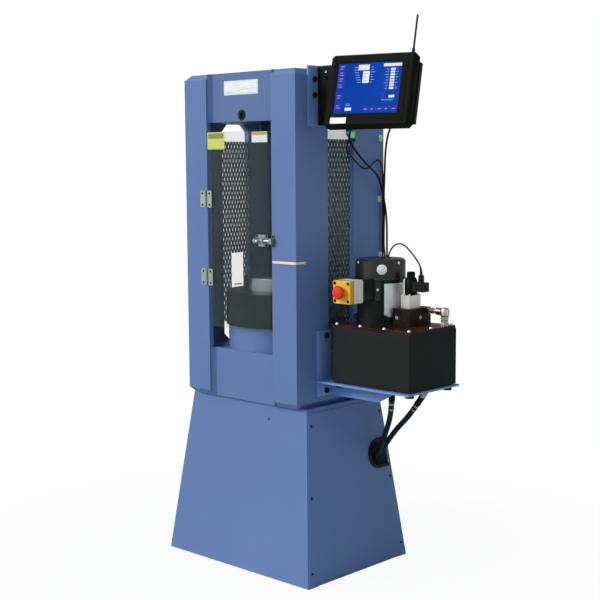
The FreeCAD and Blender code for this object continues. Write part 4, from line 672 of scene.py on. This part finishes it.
def rounded_outline(width, height, corner, steps=5):
    """Points of a rectangle with round corners, about the origin."""
    points = []
    for number, (side, up) in enumerate(((1, 1), (-1, 1), (-1, -1), (1, -1))):
        for step in range(steps + 1):
            turn = pi / 2 * (number + step / steps)
            points.append((side * (width / 2 - corner) + corner * cos(turn),
                           up * (height / 2 - corner) + corner * sin(turn)))
    return points


def shrunk(points, inset):
    """The outline moved inwards."""
    moved = []
    for index, here in enumerate(points):
        before = Vector(points[index - 1])
        after = Vector(points[(index + 1) % len(points)])
        along = (after - before).normalized()
        moved.append((here[0] - along.y * inset, here[1] + along.x * inset))
    return moved


def skin(mesh, rings, number=0, ends=True):
    """Faces between rings of corners, and over the two ends."""
    for low, high in zip(rings, rings[1:]):
        for index in range(len(low)):
            after = (index + 1) % len(low)
            mesh.faces.new((low[index], low[after], high[after], high[index])).material_index = number
    for ring in (rings[0], rings[-1]) if ends else ():
        mesh.faces.new(ring).material_index = number
    return mesh


def add_plate(mesh, points, thick, where=None, edge=0.3, number=0):
    """A plate from an outline in X and Z, its back at y 0 and its face towards -y."""
    where = where or Matrix.Identity(4)
    rings = [[mesh.verts.new(where @ Vector((x, back, z))) for x, z in shrunk(points, inset)]
             for inset, back in ((0, 0), (0, edge - thick), (edge * 0.7, -thick))]
    return skin(mesh, rings, number)


def add_card(mesh, size, thick, where, edge=0.3, number=0):
    """A plate with round corners; size is its width, height, corner radius and, if given, corner steps."""
    return add_plate(mesh, rounded_outline(*size), thick, where, edge, number)


def add_turned(mesh, profile, where=None, sides=32, number=0):
    """A turned solid from radius and height pairs about its own Z."""
    where = where or Matrix.Identity(4)
    rings = []
    for radius, height in profile:
        turns = [2 * pi * step / sides for step in range(sides if radius else 1)]
        rings.append([mesh.verts.new(where @ Vector((radius * cos(turn), radius * sin(turn), height)))
                      for turn in turns])
    for low, high in zip(rings, rings[1:]):
        for index in range(sides):
            after = (index + 1) % sides
            corners = [low[0]] if len(low) == 1 else [low[index], low[after]]
            corners += [high[0]] if len(high) == 1 else [high[after], high[index]]
            mesh.faces.new(corners).material_index = number
    for ring in (rings[0], rings[-1]):
        if len(ring) > 1:
            mesh.faces.new(ring).material_index = number
    return mesh


def at(x, y, z, turn=0.0, lean=0.0):
    """A place in millimetres, turned about Z and then leaned about its own X, in degrees."""
    return (Matrix.Translation((x, y, z)) @ Matrix.Rotation(radians(turn), 4, "Z")
            @ Matrix.Rotation(radians(lean), 4, "X"))


def aimed(place, direction):
    """A place whose own Z points in a direction."""
    return Matrix.Translation(place) @ Vector(direction).to_track_quat("Z", "Y").to_matrix().to_4x4()


def outward(turn):
    """The level direction at an angle in degrees."""
    return Vector((cos(radians(turn)), sin(radians(turn)), 0))


def behind_screen(across, back, up):
    """A place on the screen's rear whose own Z points to the rear."""
    return aimed(SCREEN @ Vector((across, back, up)), SCREEN.to_3x3() @ Vector((0, 1, 0)))


def on_screen(across, back, up):
    """A point of the screen's own frame in the machine's frame, in millimetres."""
    return tuple(SCREEN @ Vector((across, back, up)))


# Radius and height along a small round screw head

SMALL_HEAD = [(0, 0), (4.4, 0), (4.4, 1.4), (3.4, 2.4), (0, 2.7)]


# Operators


class Maker:
    """What the machine's operators share."""

    bl_options = {"REGISTER", "UNDO"}


class TESTER_OT_cad_finishes(Maker, bpy.types.Operator):
    """Give every carried-over part its paint, plating or plastic"""

    bl_idname = "tester.cad_finishes"
    bl_label = "Finishes of the main parts"

    def execute(self, context):
        for name, nodes in CAD_FINISHES.items():
            for node in nodes.split():
                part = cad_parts[node]
                if not part.material_slots:
                    part.data.materials.append(None)
                for holder in part.material_slots:
                    holder.link = "OBJECT"
                    holder.material = finish(name)
        return {"FINISHED"}


CORDS = {
    "pressure_hose": [(384, 44, 548), (384, 44, 486), (318, 94, 398), (262, 122, 316), (190, 112, 250),
                      (100, 70, 232), (28, 22, 290), (0, 0, 375), (0, 0, 455)],
    "return_hose": [(482.6, 59.6, 539.9), (430, 72, 478), (350, 100, 415), (256, 146, 326), (185, 158, 272),
                    (110, 130, 262), (66, 70, 310), (60, 30, 385), (60, 30, 455)],
    "controller_cable": [on_screen(-70, 4, -55), on_screen(-70, 34, -55), (296, -52, 1300), (281, -20, 1254),
                         (275, 30, 1215), (268, 82, 1184), (259, 130, 1163), (247, 170, 1103),
                         (243.5, 190, 1030), (243, 191, 965), (244, 190, 900), (256, 184, 845),
                         (298, 170, 806), (350, 163, 786), (410, 155, 775), (440, 134, 770), (440, 106, 770)],
    "power_cable": [on_screen(40, 4, -55), on_screen(40, 32, -55), (430, 0, 1308), (385, 55, 1306),
                    (335, 105, 1306), (285, 155, 1302), (250, 182, 1272), (240.5, 185, 1225),
                    (238.5, 184.5, 1165), (236.5, 183.5, 1100), (238, 184, 1035), (236.5, 183.5, 975),
                    (238, 184, 930), (252, 181, 888), (287, 170, 858), (326, 154, 842), (352, 128, 839),
                    (352, 100, 839)],
    "solenoid_lead": [on_screen(-45, 4, -55), on_screen(-45, 29, -55), (335, -50, 1300), (292, -42, 1266),
                      (264, -18, 1232), (257, 15, 1215), (254, 46, 1194), (252, 72, 1180), (252, 98, 1183),
                      (246, 128, 1202), (242, 156, 1208), (239, 175, 1184), (239.5, 176, 1140),
                      (238.5, 176.5, 1085), (239.5, 176, 1030), (238.5, 176.5, 975), (240, 174, 928),
                      (260, 158, 890), (300, 125, 890), (328, 92, 924), (350, 80, 954), (385, 68, 971),
                      (420, 56, 966), (452, 42, 950), (480, 33, 930), (497, 32, 908), (497, 32, 887)],
}


def route(name, thickness=0.0, called=None):
    """The cord's curve: one open NURBS spline through its points' hull, in metres."""
    data = bpy.data.curves.new(called or name, "CURVE")
    data.dimensions = "3D"
    data.resolution_u = 10
    data.bevel_depth = thickness
    data.bevel_resolution = 5
    data.use_fill_caps = True
    spline = data.splines.new("NURBS")
    points = CORDS[name]
    spline.points.add(len(points) - 1)
    for point, place in zip(spline.points, points):
        point.co = (*(Vector(place) * MM), 1)
    spline.order_u = 3
    spline.use_endpoint_u = True
    return bpy.data.objects.new(called or name, data)


def route_points(name):
    """Points along the cord's curve, in millimetres."""
    bare = route(name, called=name + "_route")
    bpy.context.collection.objects.link(bare)
    bpy.context.view_layer.update()
    line = bpy.data.meshes.new_from_object(bare)
    points = [vertex.co / MM for vertex in line.vertices]
    bpy.data.objects.remove(bare)
    bpy.data.meshes.remove(line)
    return points


def add_tube(mesh, points, radii, sides, number=0):
    """A round tube along points, with a radius at each."""
    rings = []
    side = None
    for index, here in enumerate(points):
        along = (points[min(index + 1, len(points) - 1)] - points[max(index - 1, 0)]).normalized()
        side = along.orthogonal() if side is None else side - along * side.dot(along)
        side.normalize()
        up = along.cross(side)
        turns = [2 * pi * step / sides for step in range(sides)]
        rings.append([mesh.verts.new(here + (side * cos(turn) + up * sin(turn)) * radii[index])
                      for turn in turns])
    return skin(mesh, rings, number)


def along_route(points, start, end):
    """The stretch of a route between two distances from its start, in millimetres."""
    out = []
    travelled = 0.0
    for here, after in zip(points, points[1:]):
        step = (after - here).length
        for mark in (start, end):
            if travelled <= mark < travelled + step:
                out.append(here.lerp(after, (mark - travelled) / step))
        if start < travelled + step < end:
            out.append(after)
        travelled += step
    return out


class TESTER_OT_hoses(Maker, bpy.types.Operator):
    """Hang the two hydraulic hoses below the shelf, with their sleeves and ferrules"""

    bl_idname = "tester.hoses"
    bl_label = "Hoses"

    def execute(self, context):
        width = sizes().hose
        for name in ("pressure_hose", "return_hose"):
            hose = route(name, width / 2)
            context.collection.objects.link(hose)
            hose.data.materials.append(finish("hose_cover"))
            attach(hose, "frame")
            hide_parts(name)
            points = route_points(name)
            radius = width / MM / 2
            start = along_route(points, 0.5, 34)
            grip = [radius + 0.4 + 1.1 * (0.5 + 0.5 * cos(pi * 4 * step / (len(start) - 1)) ** 8)
                    for step in range(len(start))]
            mesh = add_tube(bmesh.new(), start, grip, 24)
            for mark in (40, 57):
                band = along_route(points, mark, mark + 4)
                add_tube(mesh, band, [radius + 0.7] * len(band), 24, 1)
            sleeve = piece(name + "_ferrule", mesh, "black_oxide zinc_plate", "frame")
        return {"FINISHED"}


def add_boot(points, reach, wide, slim):
    """A tapering rubber boot over the first stretch of a route."""
    short = along_route(points, 0.5, reach)
    radii = [wide + (slim - wide) * step / (len(short) - 1) for step in range(len(short))]
    return add_tube(bmesh.new(), short, radii, 20)


class TESTER_OT_cables(Maker, bpy.types.Operator):
    """Run the three cables from the screen down the column"""

    bl_idname = "tester.cables"
    bl_label = "Cables"

    def execute(self, context):
        for name in ("controller_cable", "power_cable", "solenoid_lead"):
            width = sizes().lead if name == "solenoid_lead" else sizes().cable
            radius = width / MM / 2
            points = route_points(name)
            tube = add_tube(bmesh.new(), points, [radius] * len(points), sizes().cord_sides)
            cable = made(name, tube, "rubber")
            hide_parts(name)
            along_route(points, 190, 191)[0] * MM
            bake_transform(cable)
            boot = add_boot(points, 24, radius + 2.6, radius + 0.5)
            sleeve = piece(name + "_boot", boot, "rubber", "monitor")
            [point * MM for point in points]
            tail = add_boot(points[::-1], 22, radius + 2.2, radius + 0.3)
            piece(name + "_tail", tail, "rubber", "frame")
        return {"FINISHED"}


def add_strand(mesh, side, points, width, thick, lean):
    """One strand of expanded metal: a flat bar that zigzags up the guard's plane."""
    across = Vector((sin(lean), cos(lean), 0)) * width / 2
    through = Vector((cos(lean), -sin(lean), 0)) * thick / 2
    corners = [across * a + through * b for a, b in ((-1, -1), (1, -1), (1, 1), (-1, 1))]
    skin(mesh, [[mesh.verts.new(Vector((side, back, up)) + corner) for corner in corners]
                for back, up in points])


def add_expanded(guard, side, hole=None):
    """A sheet of expanded metal in place of a guard, less the strands inside a hole."""
    mesh = bmesh.new()
    low, high = box_of(guard)
    plane = side * (min(abs(low.x), abs(high.x)) + 0.4)
    half_short = sizes().mesh_short / MM / 2
    half_long = sizes().mesh_long / MM / 2
    width = sizes().strand / MM
    thick = sizes().sheet / MM
    grip = width * 0.45
    bond = 1.7
    first = int(low.y / half_short) - 1
    first -= first % 2
    for column in range(first, -first + 1, 2):
        for lean_in in (0, 1):
            runs = [[]]
            for row in range(int((high.z - low.z) / half_long) + 1):
                odd = row % 2
                if lean_in:
                    back = (column + 1) * half_short + grip if odd else (column + 2) * half_short - grip
                else:
                    back = (column + 1) * half_short - grip if odd else column * half_short + grip
                up = low.z + 1 + row * half_long
                inside = low.y + 1.5 < back < high.y - 1.5
                cut = hole and hole[0] < back < hole[1] and hole[2] < up < hole[3]
                if inside and not cut:
                    runs[-1] += [(back, max(up - bond, low.z + 0.3)), (back, min(up + bond, high.z - 0.3))]
                else:
                    runs.append([])
            for run in runs:
                if len(run) > 2:
                    add_strand(mesh, plane, run, width, thick, 0.42)
    for back in (low.y + 1.4, high.y - 1.4):
        add_strand(mesh, plane, [(back, low.z + 0.3), (back, high.z - 0.3)], width, thick, 0)
    return mesh


# The hole in the left guard: from, to in Y, and from, to in Z

HAND_CUT_HOLE = (-26, 27, 820, 919)


class TESTER_OT_guards(Maker, bpy.types.Operator):
    """Hang the fine expanded metal behind the side openings, the left one with its hand-cut hole"""

    bl_idname = "tester.guards"
    bl_label = "Side guards"

    def execute(self, context):
        for side, name, hole in ((-1, "left", HAND_CUT_HOLE), (1, "right", None)):
            guard = "side_guard_" + name
            sheet = add_expanded(guard, side, hole)
            smooth(piece("guard_mesh_" + name, sheet, "expanded_steel", "frame", [guard]), 0)
        mesh = add_card(bmesh.new(), (34, 3.4, 1), 1.2, at(-208.4, 1, HAND_CUT_HOLE[2] + 1, 90), 0.2)
        smooth(piece("guard_trim_bar", mesh, "expanded_steel", "frame"), 0)
        return {"FINISHED"}


class TESTER_OT_labels(Maker, bpy.types.Operator):
    """Put the bare plates and labels on the crosshead, the door, the column and the motor"""

    bl_idname = "tester.labels"
    bl_label = "Bare plates and labels"

    def execute(self, context):
        thick = sizes().label / MM
        plate = at(-3, NAME_PLATE_BACK, 1416.5)
        mesh = add_card(bmesh.new(), (142, 41, 3), thick * 1.5, plate, 0.2)
        add_card(mesh, (134, 33, 2), thick * 0.5, plate @ at(0, -thick * 1.5, 0), 0.1, 1)
        piece("name_plate", mesh, "label_white plate_foil", "frame")

        face = DOOR[0].y
        mesh = add_card(bmesh.new(), (74, 50, 4), thick, at(-94, face, 1265), 0.15)
        add_card(mesh, (66, 15, 2), thick * 0.4, at(-94, face - thick, 1279), 0.1, 1)
        add_card(mesh, (66, 24, 2), thick * 0.4, at(-94, face - thick, 1256), 0.1)
        piece("door_label_left", mesh, "label_yellow label_olive", "door")
        mesh = add_card(bmesh.new(), (63, 30, 1.5), thick, at(88.5, face, 1273), 0.15)
        add_card(mesh, (61, 8.5, 1), thick * 0.4, at(88.5, face - thick, 1283), 0.1, 1)
        piece("door_label_right", mesh, "label_white label_amber", "door")

        inner, outer, half = COLUMN[0].x, COLUMN[1].x, 5.4
        mesh = bmesh.new()
        pointer = [(inner + 0.3, 0.6), (inner + 8.5, half), (outer + 0.4, half), (outer + 0.4, -half),
                   (inner + 8.5, -half), (inner + 0.3, -0.6)]
        add_plate(mesh, pointer, thick, at(0, COLUMN[0].y, STRIP_LEVEL), 0.1)
        side = [(-0.4, -half), (39.5, 0.6 - half), (39.5, half - 0.6), (-0.4, half)]
        add_plate(mesh, side, thick, at(outer, COLUMN[0].y, STRIP_LEVEL, 90), 0.1)
        piece("level_strip", mesh, "strip_paint", "frame")

        mesh = bmesh.new()
        for first, last, low, high, number in ((-41, 21, 767, 862, 0), (2, 16, 771, 858, 1)):
            under = MOTOR_RADIUS + 0.05
            over = MOTOR_RADIUS + 0.5 + number * 0.1
            section = [(under, low), (over, low), (over, high), (under, high)]
            turns = [outward(first + (last - first) * step / 14) for step in range(15)]
            skin(mesh, [[mesh.verts.new(Vector((*MOTOR, up)) + turn * out) for out, up in section]
                        for turn in turns], number)
        piece("motor_labels", mesh, "label_motor label_pink", "frame")

        out = outward(-47)
        spot = Vector((*MOTOR, 902)) + out * (FAN[1].x - MOTOR[0] - 0.1)
        mesh = add_turned(bmesh.new(), [(0, -0.5), (14.2, -0.5), (14.2, 0.7), (13.6, 1.0), (0, 1.0)],
                          aimed(spot, out), 40)
        piece("fan_cover_label", mesh, "label_motor", "frame")

        mesh = add_card(bmesh.new(), (47, 17, 1), 0.5, SCREEN @ at(-75.5, BEZEL_FRONT, -89.5), 0.15)
        add_card(mesh, (41, 11, 1), 0.15, SCREEN @ at(-75.5, BEZEL_FRONT - 0.5, -89.5), 0.08, 1)
        piece("screen_label", mesh, "label_white plate_foil", "monitor")
        return {"FINISHED"}


class TESTER_OT_display(Maker, bpy.types.Operator):
    """Draw the lit page behind the glass: plain buttons, fields and captions without words"""

    bl_idname = "tester.display"
    bl_label = "Display page"

    def execute(self, context):
        mesh = bmesh.new()

        def field(left, low, right, high, number, raise_by=0.0):
            spot = SCREEN @ at((left + right) / 2, GLASS_FRONT - 0.05 - raise_by, (low + high) / 2)
            add_card(mesh, (right - left, high - low, 0.5, 2), 0.16, spot, 0.05, number)

        for index, (low, high) in enumerate(((50, 67), (34, 48), (17, 32), (0, 15), (-32, -14), (-62, -40))):
            field(-91, low, -71, high, 0)
            for step in range(2):
                level = (low + high) / 2 + 3.2 - 6.4 * step
                field(-87, level - 1, -75 - 3 * ((index + step) % 2), level + 1, 1, 0.2)
        for index in range(5):
            left = -7 + index * 20.4
            field(left, -65, left + 17, -52, 0)
            field(left + 3, -60.5, left + 13 - index % 2 * 3, -58.2, 1, 0.2)
        field(-33, 50, -1, 65, 2)
        field(-18, 14, 1, 47, 2)
        field(-60, -62, -41, -54, 2)
        field(-60, -50, -46, -42, 4)
        field(40, 58, 92, 66, 2)
        for row in range(8):
            level = 50 - row * 7.6
            field(62, level - 2.6, 75, level + 2.6, 2)
            field(50 - row % 3 * 2, level - 1, 58, level + 1, 3)
            field(78, level - 1, 82 + row % 2 * 3, level + 1, 3)
        field(64, -29, 80, -22, 2)
        field(42, -30, 56, -16, 0)
        field(44, -36, 78, -34, 3)
        for row in range(7):
            level = 58 - row * 7
            field(-46 + row * 2, level - 1, -35 + row * 2.2, level + 1, 3)
            field(5, level - 1, 10 + row % 3 * 3, level + 1, 3)
        for row in range(3):
            field(-14, 20 + row * 9.5, -4, 21.2 + row * 9.5, 4, 0.2)
        piece("display_page", mesh, "button_violet button_mark field_white caption_pale field_sky", "monitor")
        return {"FINISHED"}


class TESTER_OT_screen_parts(Maker, bpy.types.Operator):
    """Add the screen's inner lip, rear vents, screws and plugs"""

    bl_idname = "tester.screen_parts"
    bl_label = "Fine parts of the screen"

    def execute(self, context):
        mesh = bmesh.new()
        outer = rounded_outline(193.4, 147.4, 1.5)
        inner = rounded_outline(186, 140, 1.5)
        rings = [[mesh.verts.new(SCREEN @ Vector((x, GLASS_FRONT + back, z))) for x, z in points]
                 for points, back in ((outer, 0), (outer, -0.9), (inner, 0), (inner, 0.1))]
        skin(mesh, rings + rings[:1], ends=False)
        for left, right in ((-109, -101.5), (103, 110), (112, 122.5)):
            spot = SCREEN @ at((left + right) / 2, BEZEL_FRONT, -5)
            add_card(mesh, (right - left, 190, 0.6, 2), 0.9, spot, 0.5)
        piece("bezel_lip", mesh, "bezel_plastic", "monitor")

        mesh = add_card(bmesh.new(), (17.5, 168, 1.5), 14.5, SCREEN @ at(HOUSING_SIDE - 5.4, -20.8, -8), 1.2)
        for row in range(16):
            spot = SCREEN @ at(HOUSING_SIDE + 3.3, -28, 62 - row * 6, 90)
            add_card(mesh, (2.4, 2.4, 0.8, 2), 0.4, spot, 0.1, 1)
        for back in (-42, -49):
            add_card(mesh, (1.6, 186, 0.6, 2), 0.9, SCREEN @ at(HOUSING_SIDE, back, -5, 90), 0.3)
        piece("side_vents", mesh, "black_plastic label_olive", "monitor")

        mesh = bmesh.new()
        for row in range(9):
            add_card(mesh, (2.6, 62, 1.2), 0.5, SCREEN @ at(81 - row * 7, HOUSING_BACK, 20, 180), 0.2)
        head = [(0, -0.2), (3.2, -0.2), (3.2, 1.0), (2.4, 1.6), (1.2, 1.6), (0.9, 0.9), (0, 0.9)]
        for across in (-85, 107):
            for up in (-70, 67):
                add_turned(mesh, head, behind_screen(across, HOUSING_BACK, up), 24, 1)
        piece("rear_vents", mesh, "black_plastic black_oxide", "monitor")

        mesh = bmesh.new()
        collar = [(0, -0.3), (7.0, -0.3), (7.0, 9), (6.2, 10), (0, 10)]
        for number, across in enumerate((-70, -45, 40)):
            add_turned(mesh, collar, behind_screen(across, 3.6, -55), 28, number)
        for number, (across, low) in enumerate(((-55, -118), (-39, -130))):
            add_card(mesh, (13, -98 - low, 1.5), 14, SCREEN @ at(across, -22, (low - 98) / 2), 0.8, number)
            add_card(mesh, (9, 5, 1), 10, SCREEN @ at(across, -24, low - 2.2), 0.6, 2)
        piece("screen_plugs", mesh, "plug_blue green_plastic black_plastic", "monitor")
        return {"FINISHED"}


class TESTER_OT_power_parts(Maker, bpy.types.Operator):
    """Add the small parts of the motor and the valve stack"""

    bl_idname = "tester.power_parts"
    bl_label = "Fine parts of the power pack"

    def execute(self, context):
        mesh = bmesh.new()
        socket_head = [(0, -0.5), (3.4, -0.5), (3.4, 3.0), (2.9, 3.5), (1.8, 3.5), (1.6, 1.6), (0, 1.6)]
        for x in (-11, 11):
            for y in (-20, 20):
                add_turned(mesh, socket_head, at(COIL[0] + x, COIL[1] + y, VALVE[1].z), 24)
        piece("valve_screws", mesh, "zinc_plate", "frame")

        sleeve = [(0, 2), (17.4, 2), (18, 3), (18, 42), (16.6, 44), (0, 44)]
        mesh = add_turned(bmesh.new(), sleeve, at(*COIL, VALVE[1].z), 36)
        for step in range(24):
            grip = at(*COIL, VALVE[1].z + 55, 360 * step / 24) @ at(0, -11, 0)
            add_card(mesh, (1.4, 12, 0.5, 2), 0.9, grip, 0.3)
        piece("coil_nut_grips", mesh, "coil_plastic", "frame")

        out = outward(-57)
        spot = Vector((*MOTOR, 842)) + out * (MOTOR_RADIUS - 0.6)
        mesh = add_card(bmesh.new(), (17, 56, 5), 3.2, at(*spot, 33), 0.8)
        add_turned(mesh, SMALL_HEAD, aimed(spot + out * 3.0 + Vector((0, 0, 3)), out), 28, 1)
        piece("motor_clamp", mesh, "fan_black zinc_plate", "frame")

        bead = [(66, 0.3), (72.1, 0.3), (72.6, 1.2), (72.6, 4), (71.8, 5.4), (66, 5.4)]
        mesh = add_turned(bmesh.new(), bead, at(*MOTOR, FAN[0].z), 96)
        piece("fan_rim", mesh, "fan_black", "frame")

        mesh = bmesh.new()
        for turn in (-112, -5, 115):
            spot = Vector((*MOTOR, FAN[1].z - 10)) + outward(turn) * 71.2
            add_turned(mesh, SMALL_HEAD, aimed(spot, outward(turn)), 24)
        piece("fan_screws", mesh, "zinc_plate", "frame")

        mesh = bmesh.new()
        for turn in (52, 142, 232, 322):
            foot = at(*MOTOR, LID[1].z + 11, turn)
            add_card(mesh, (26, 12, 3), 11, foot @ at(0, -64.5, 6), 1.2)
            add_turned(mesh, [(0, 11), (5, 11), (5, 15), (4, 16), (0, 16)], foot @ at(0, -70.5, 0), 6, 1)
        piece("motor_feet", mesh, "satin_black black_oxide", "frame")

        x, y, level = RETURN_PIPE
        mesh = bmesh.new()
        stem = [([(0, -12), (11.5, -12), (13, -10), (13, 5), (10, 10), (0, 11.5)], 32),
                ([(8, -38.5), (13, -38.5), (13, -33), (8, -31.5)], 6),
                ([(8, -28), (11, -27.4), (11, -23.6), (8, -23)], 28),
                ([(8, -21.5), (12.5, -21), (12.5, -14), (8, -13.4)], 6)]
        for profile, sides in stem:
            add_turned(mesh, profile, at(*RETURN_PIPE), sides)
        add_turned(mesh, [(0, 0), (10.5, 0), (10.5, 20), (12, 22), (12, 30), (0, 30)],
                   aimed((x - 26, y, level), (1, 0, 0)), 32)
        add_turned(mesh, [(6, 0), (8.6, 0.5), (8.6, 5), (6, 5.5)], aimed((x - 44, y, level), (1, 0, 0)), 28)
        piece("return_elbow", mesh, "fitting_brass", "frame")
        return {"FINISHED"}


def inset_corners(box, face, across, up):
    """The four corners of a box's front, moved inwards."""
    low, high = box
    return [(x, face, z) for x in (low.x + across, high.x - across) for z in (low.z + up, high.z - up)]


class TESTER_OT_washers(Maker, bpy.types.Operator):
    """Lay the dark washers on the latch and the stop button's box, and add two lone screws"""

    bl_idname = "tester.washers"
    bl_label = "Washers"

    def execute(self, context):
        leaf = LATCH[1].y - LEAF
        keeper = [(middle(KEEPER)[0], leaf, z) for z in (KEEPER[0].z + 4.2, KEEPER[1].z - 4.2)]
        makes = (("arm_screw", "zinc_plate", "frame", 3.2, 0, [(ARM[0].x + 30, ARM_FACE, ARM[1].z - 16)]),
                 ("stop_washers", "black_oxide", "frame", 4.8, 0, inset_corners(STOP, STOP[0].y, 8, 8)),
                 ("latch_washers", "black_oxide", "door", 4.2, 0, inset_corners(LATCH, leaf, 5, 4)),
                 ("keeper_washers", "black_oxide", "frame", 4.0, 0, keeper),
                 ("shell_screw", "black_oxide", "frame", 3.4, 0.12, [(92, -166.5, PEDESTAL[1].z - 45)]))
        for name, coat, body, radius, slope, places in makes:
            mesh = bmesh.new()
            for place in places:
                add_turned(mesh, [(0, -0.2), (radius, -0.2), (radius, 0.5), (radius - 0.5, 0.9), (0, 0.9)],
                           aimed(place, (0, -1, slope)), 24)
            piece(name, mesh, coat, body)
        return {"FINISHED"}


# The camera: its place, its turns in degrees one after the other, its lens and its shift

CAMERA_PLACE = (2.568303, -2.637410, 1.196352)
CAMERA_TURNS = ((43.38713, "Z"), (83.13703, "X"), (-0.34390, "Z"))
CAMERA_LENS = 72.9057
CAMERA_SHIFT = (-0.005367, 0.016857)

# Each lamp: strength, spread in degrees, colour and where it shines from

LAMPS = {
    "key": (1.95, 24, (1, 1, 1), (-0.42, -0.80, 0.50)),
    "fill": (0.36, 60, (0.64, 0.98, 0.90), (0.85, -0.35, 0.35)),
}


class TESTER_OT_stage(Maker, bpy.types.Operator):
    """Set the pale floor, the studio light and the camera"""

    bl_idname = "tester.stage"
    bl_label = "Stage"

    def execute(self, context):
        scene = context.scene
        mesh = bpy.data.meshes.new("floor")
        mesh.from_pydata([(-12, -12, 0), (12, -12, 0), (12, 12, 0), (-12, 12, 0)], [], [(0, 1, 2, 3)])
        floor = bpy.data.objects.new("floor", mesh)
        context.collection.objects.link(floor)
        pale = Finish("floor_pale", Base_Color=tuple(colours().floor), Roughness=0.8, Specular_IOR_Level=0.2)
        white = pale.add("ShaderNodeEmission", None, {"Color": (1, 1, 1), "Strength": 1.0})
        white_share = pale.seen() * (0.93 + pale.reach().smooth(0.5, 1.3) * 0.07)
        mesh.materials.append(pale.end(pale.mix(white_share, pale.surface, white)))

        world = bpy.data.worlds.new("studio")
        sky = Nodes(world)
        toward = sky.add("ShaderNodeTexCoord", output="Generated")
        facing = sky.dot(toward, LAMP_SIDE)
        beside = sky.dot(toward, LAMP_BESIDE)
        shine = sky.blend(facing.smooth(0.2, 0.9), (0.30, 0.32, 0.33), (1.2, 1.2, 1.18))
        shine = sky.blend(beside.smooth(0.90, 0.985), shine, (1.5, 1.35, 1.3))
        room = sky.add("ShaderNodeBackground", None, {"Color": (0.215, 0.295, 0.275)})
        box = sky.add("ShaderNodeBackground", None, {"Color": shine})
        backdrop = sky.add("ShaderNodeBackground", None, {"Color": (1, 1, 1)})
        around = sky.mix(sky.light_path("Is Glossy Ray"), room, box)
        sky.add("ShaderNodeOutputWorld", None, {0: sky.mix(sky.seen(), around, backdrop)})
        scene.world = world

        for name, (strength, spread, tint, towards) in LAMPS.items():
            lamp = bpy.data.lights.new(name, "SUN")
            lamp.energy = strength
            lamp.color = tint
            lamp.angle = radians(spread)
            holder = bpy.data.objects.new(name, lamp)
            holder.rotation_euler = Vector(towards).to_track_quat("Z", "Y").to_euler()
            context.collection.objects.link(holder)

        data = bpy.data.cameras.new("camera")
        data.sensor_width = 36
        data.lens = CAMERA_LENS
        data.shift_x, data.shift_y = CAMERA_SHIFT
        camera = bpy.data.objects.new("camera", data)
        turns = [Matrix.Rotation(radians(angle), 4, axis) for angle, axis in CAMERA_TURNS]
        camera.matrix_world = Matrix.Translation(CAMERA_PLACE) @ turns[0] @ turns[1] @ turns[2]
        context.collection.objects.link(camera)
        scene.camera = camera
        scene.view_settings.view_transform = "Standard"
        return {"FINISHED"}


class TESTER_PT_panel(bpy.types.Panel):
    """The machine's pieces in the sidebar."""

    bl_label = "Compression tester"
    bl_idname = "TESTER_PT_panel"
    bl_space_type = "VIEW_3D"
    bl_region_type = "UI"
    bl_category = "Tester"

    def draw(self, context):
        for maker in MAKE_ORDER:
            self.layout.operator(maker.bl_idname)
        for group in (colours(), sizes()):
            box = self.layout.box()
            for name in group.__annotations__:
                box.prop(group, name)


MAKE_ORDER = [TESTER_OT_stage, TESTER_OT_cad_finishes, TESTER_OT_hoses, TESTER_OT_cables, TESTER_OT_guards,
              TESTER_OT_labels, TESTER_OT_display, TESTER_OT_screen_parts, TESTER_OT_power_parts,
              TESTER_OT_washers]
CLASSES = [TesterColours, TesterSizes, *MAKE_ORDER, TESTER_PT_panel]


def register():
    for item in CLASSES:
        bpy.utils.register_class(item)
    bpy.types.Scene.tester_colours = PointerProperty(type=TesterColours)
    bpy.types.Scene.tester_sizes = PointerProperty(type=TesterSizes)


def unregister():
    del bpy.types.Scene.tester_colours
    del bpy.types.Scene.tester_sizes
    for item in reversed(CLASSES):
        bpy.utils.unregister_class(item)


def main():
    register()
    bpy.ops.tester.stage()
    bpy.ops.tester.cad_finishes()
    bpy.ops.tester.hoses()
    bpy.ops.tester.cables()
    bpy.ops.tester.guards()
    bpy.ops.tester.labels()
    bpy.ops.tester.display()
    bpy.ops.tester.screen_parts()
    bpy.ops.tester.power_parts()
    bpy.ops.tester.washers()


if __name__ == "__main__":
    main()
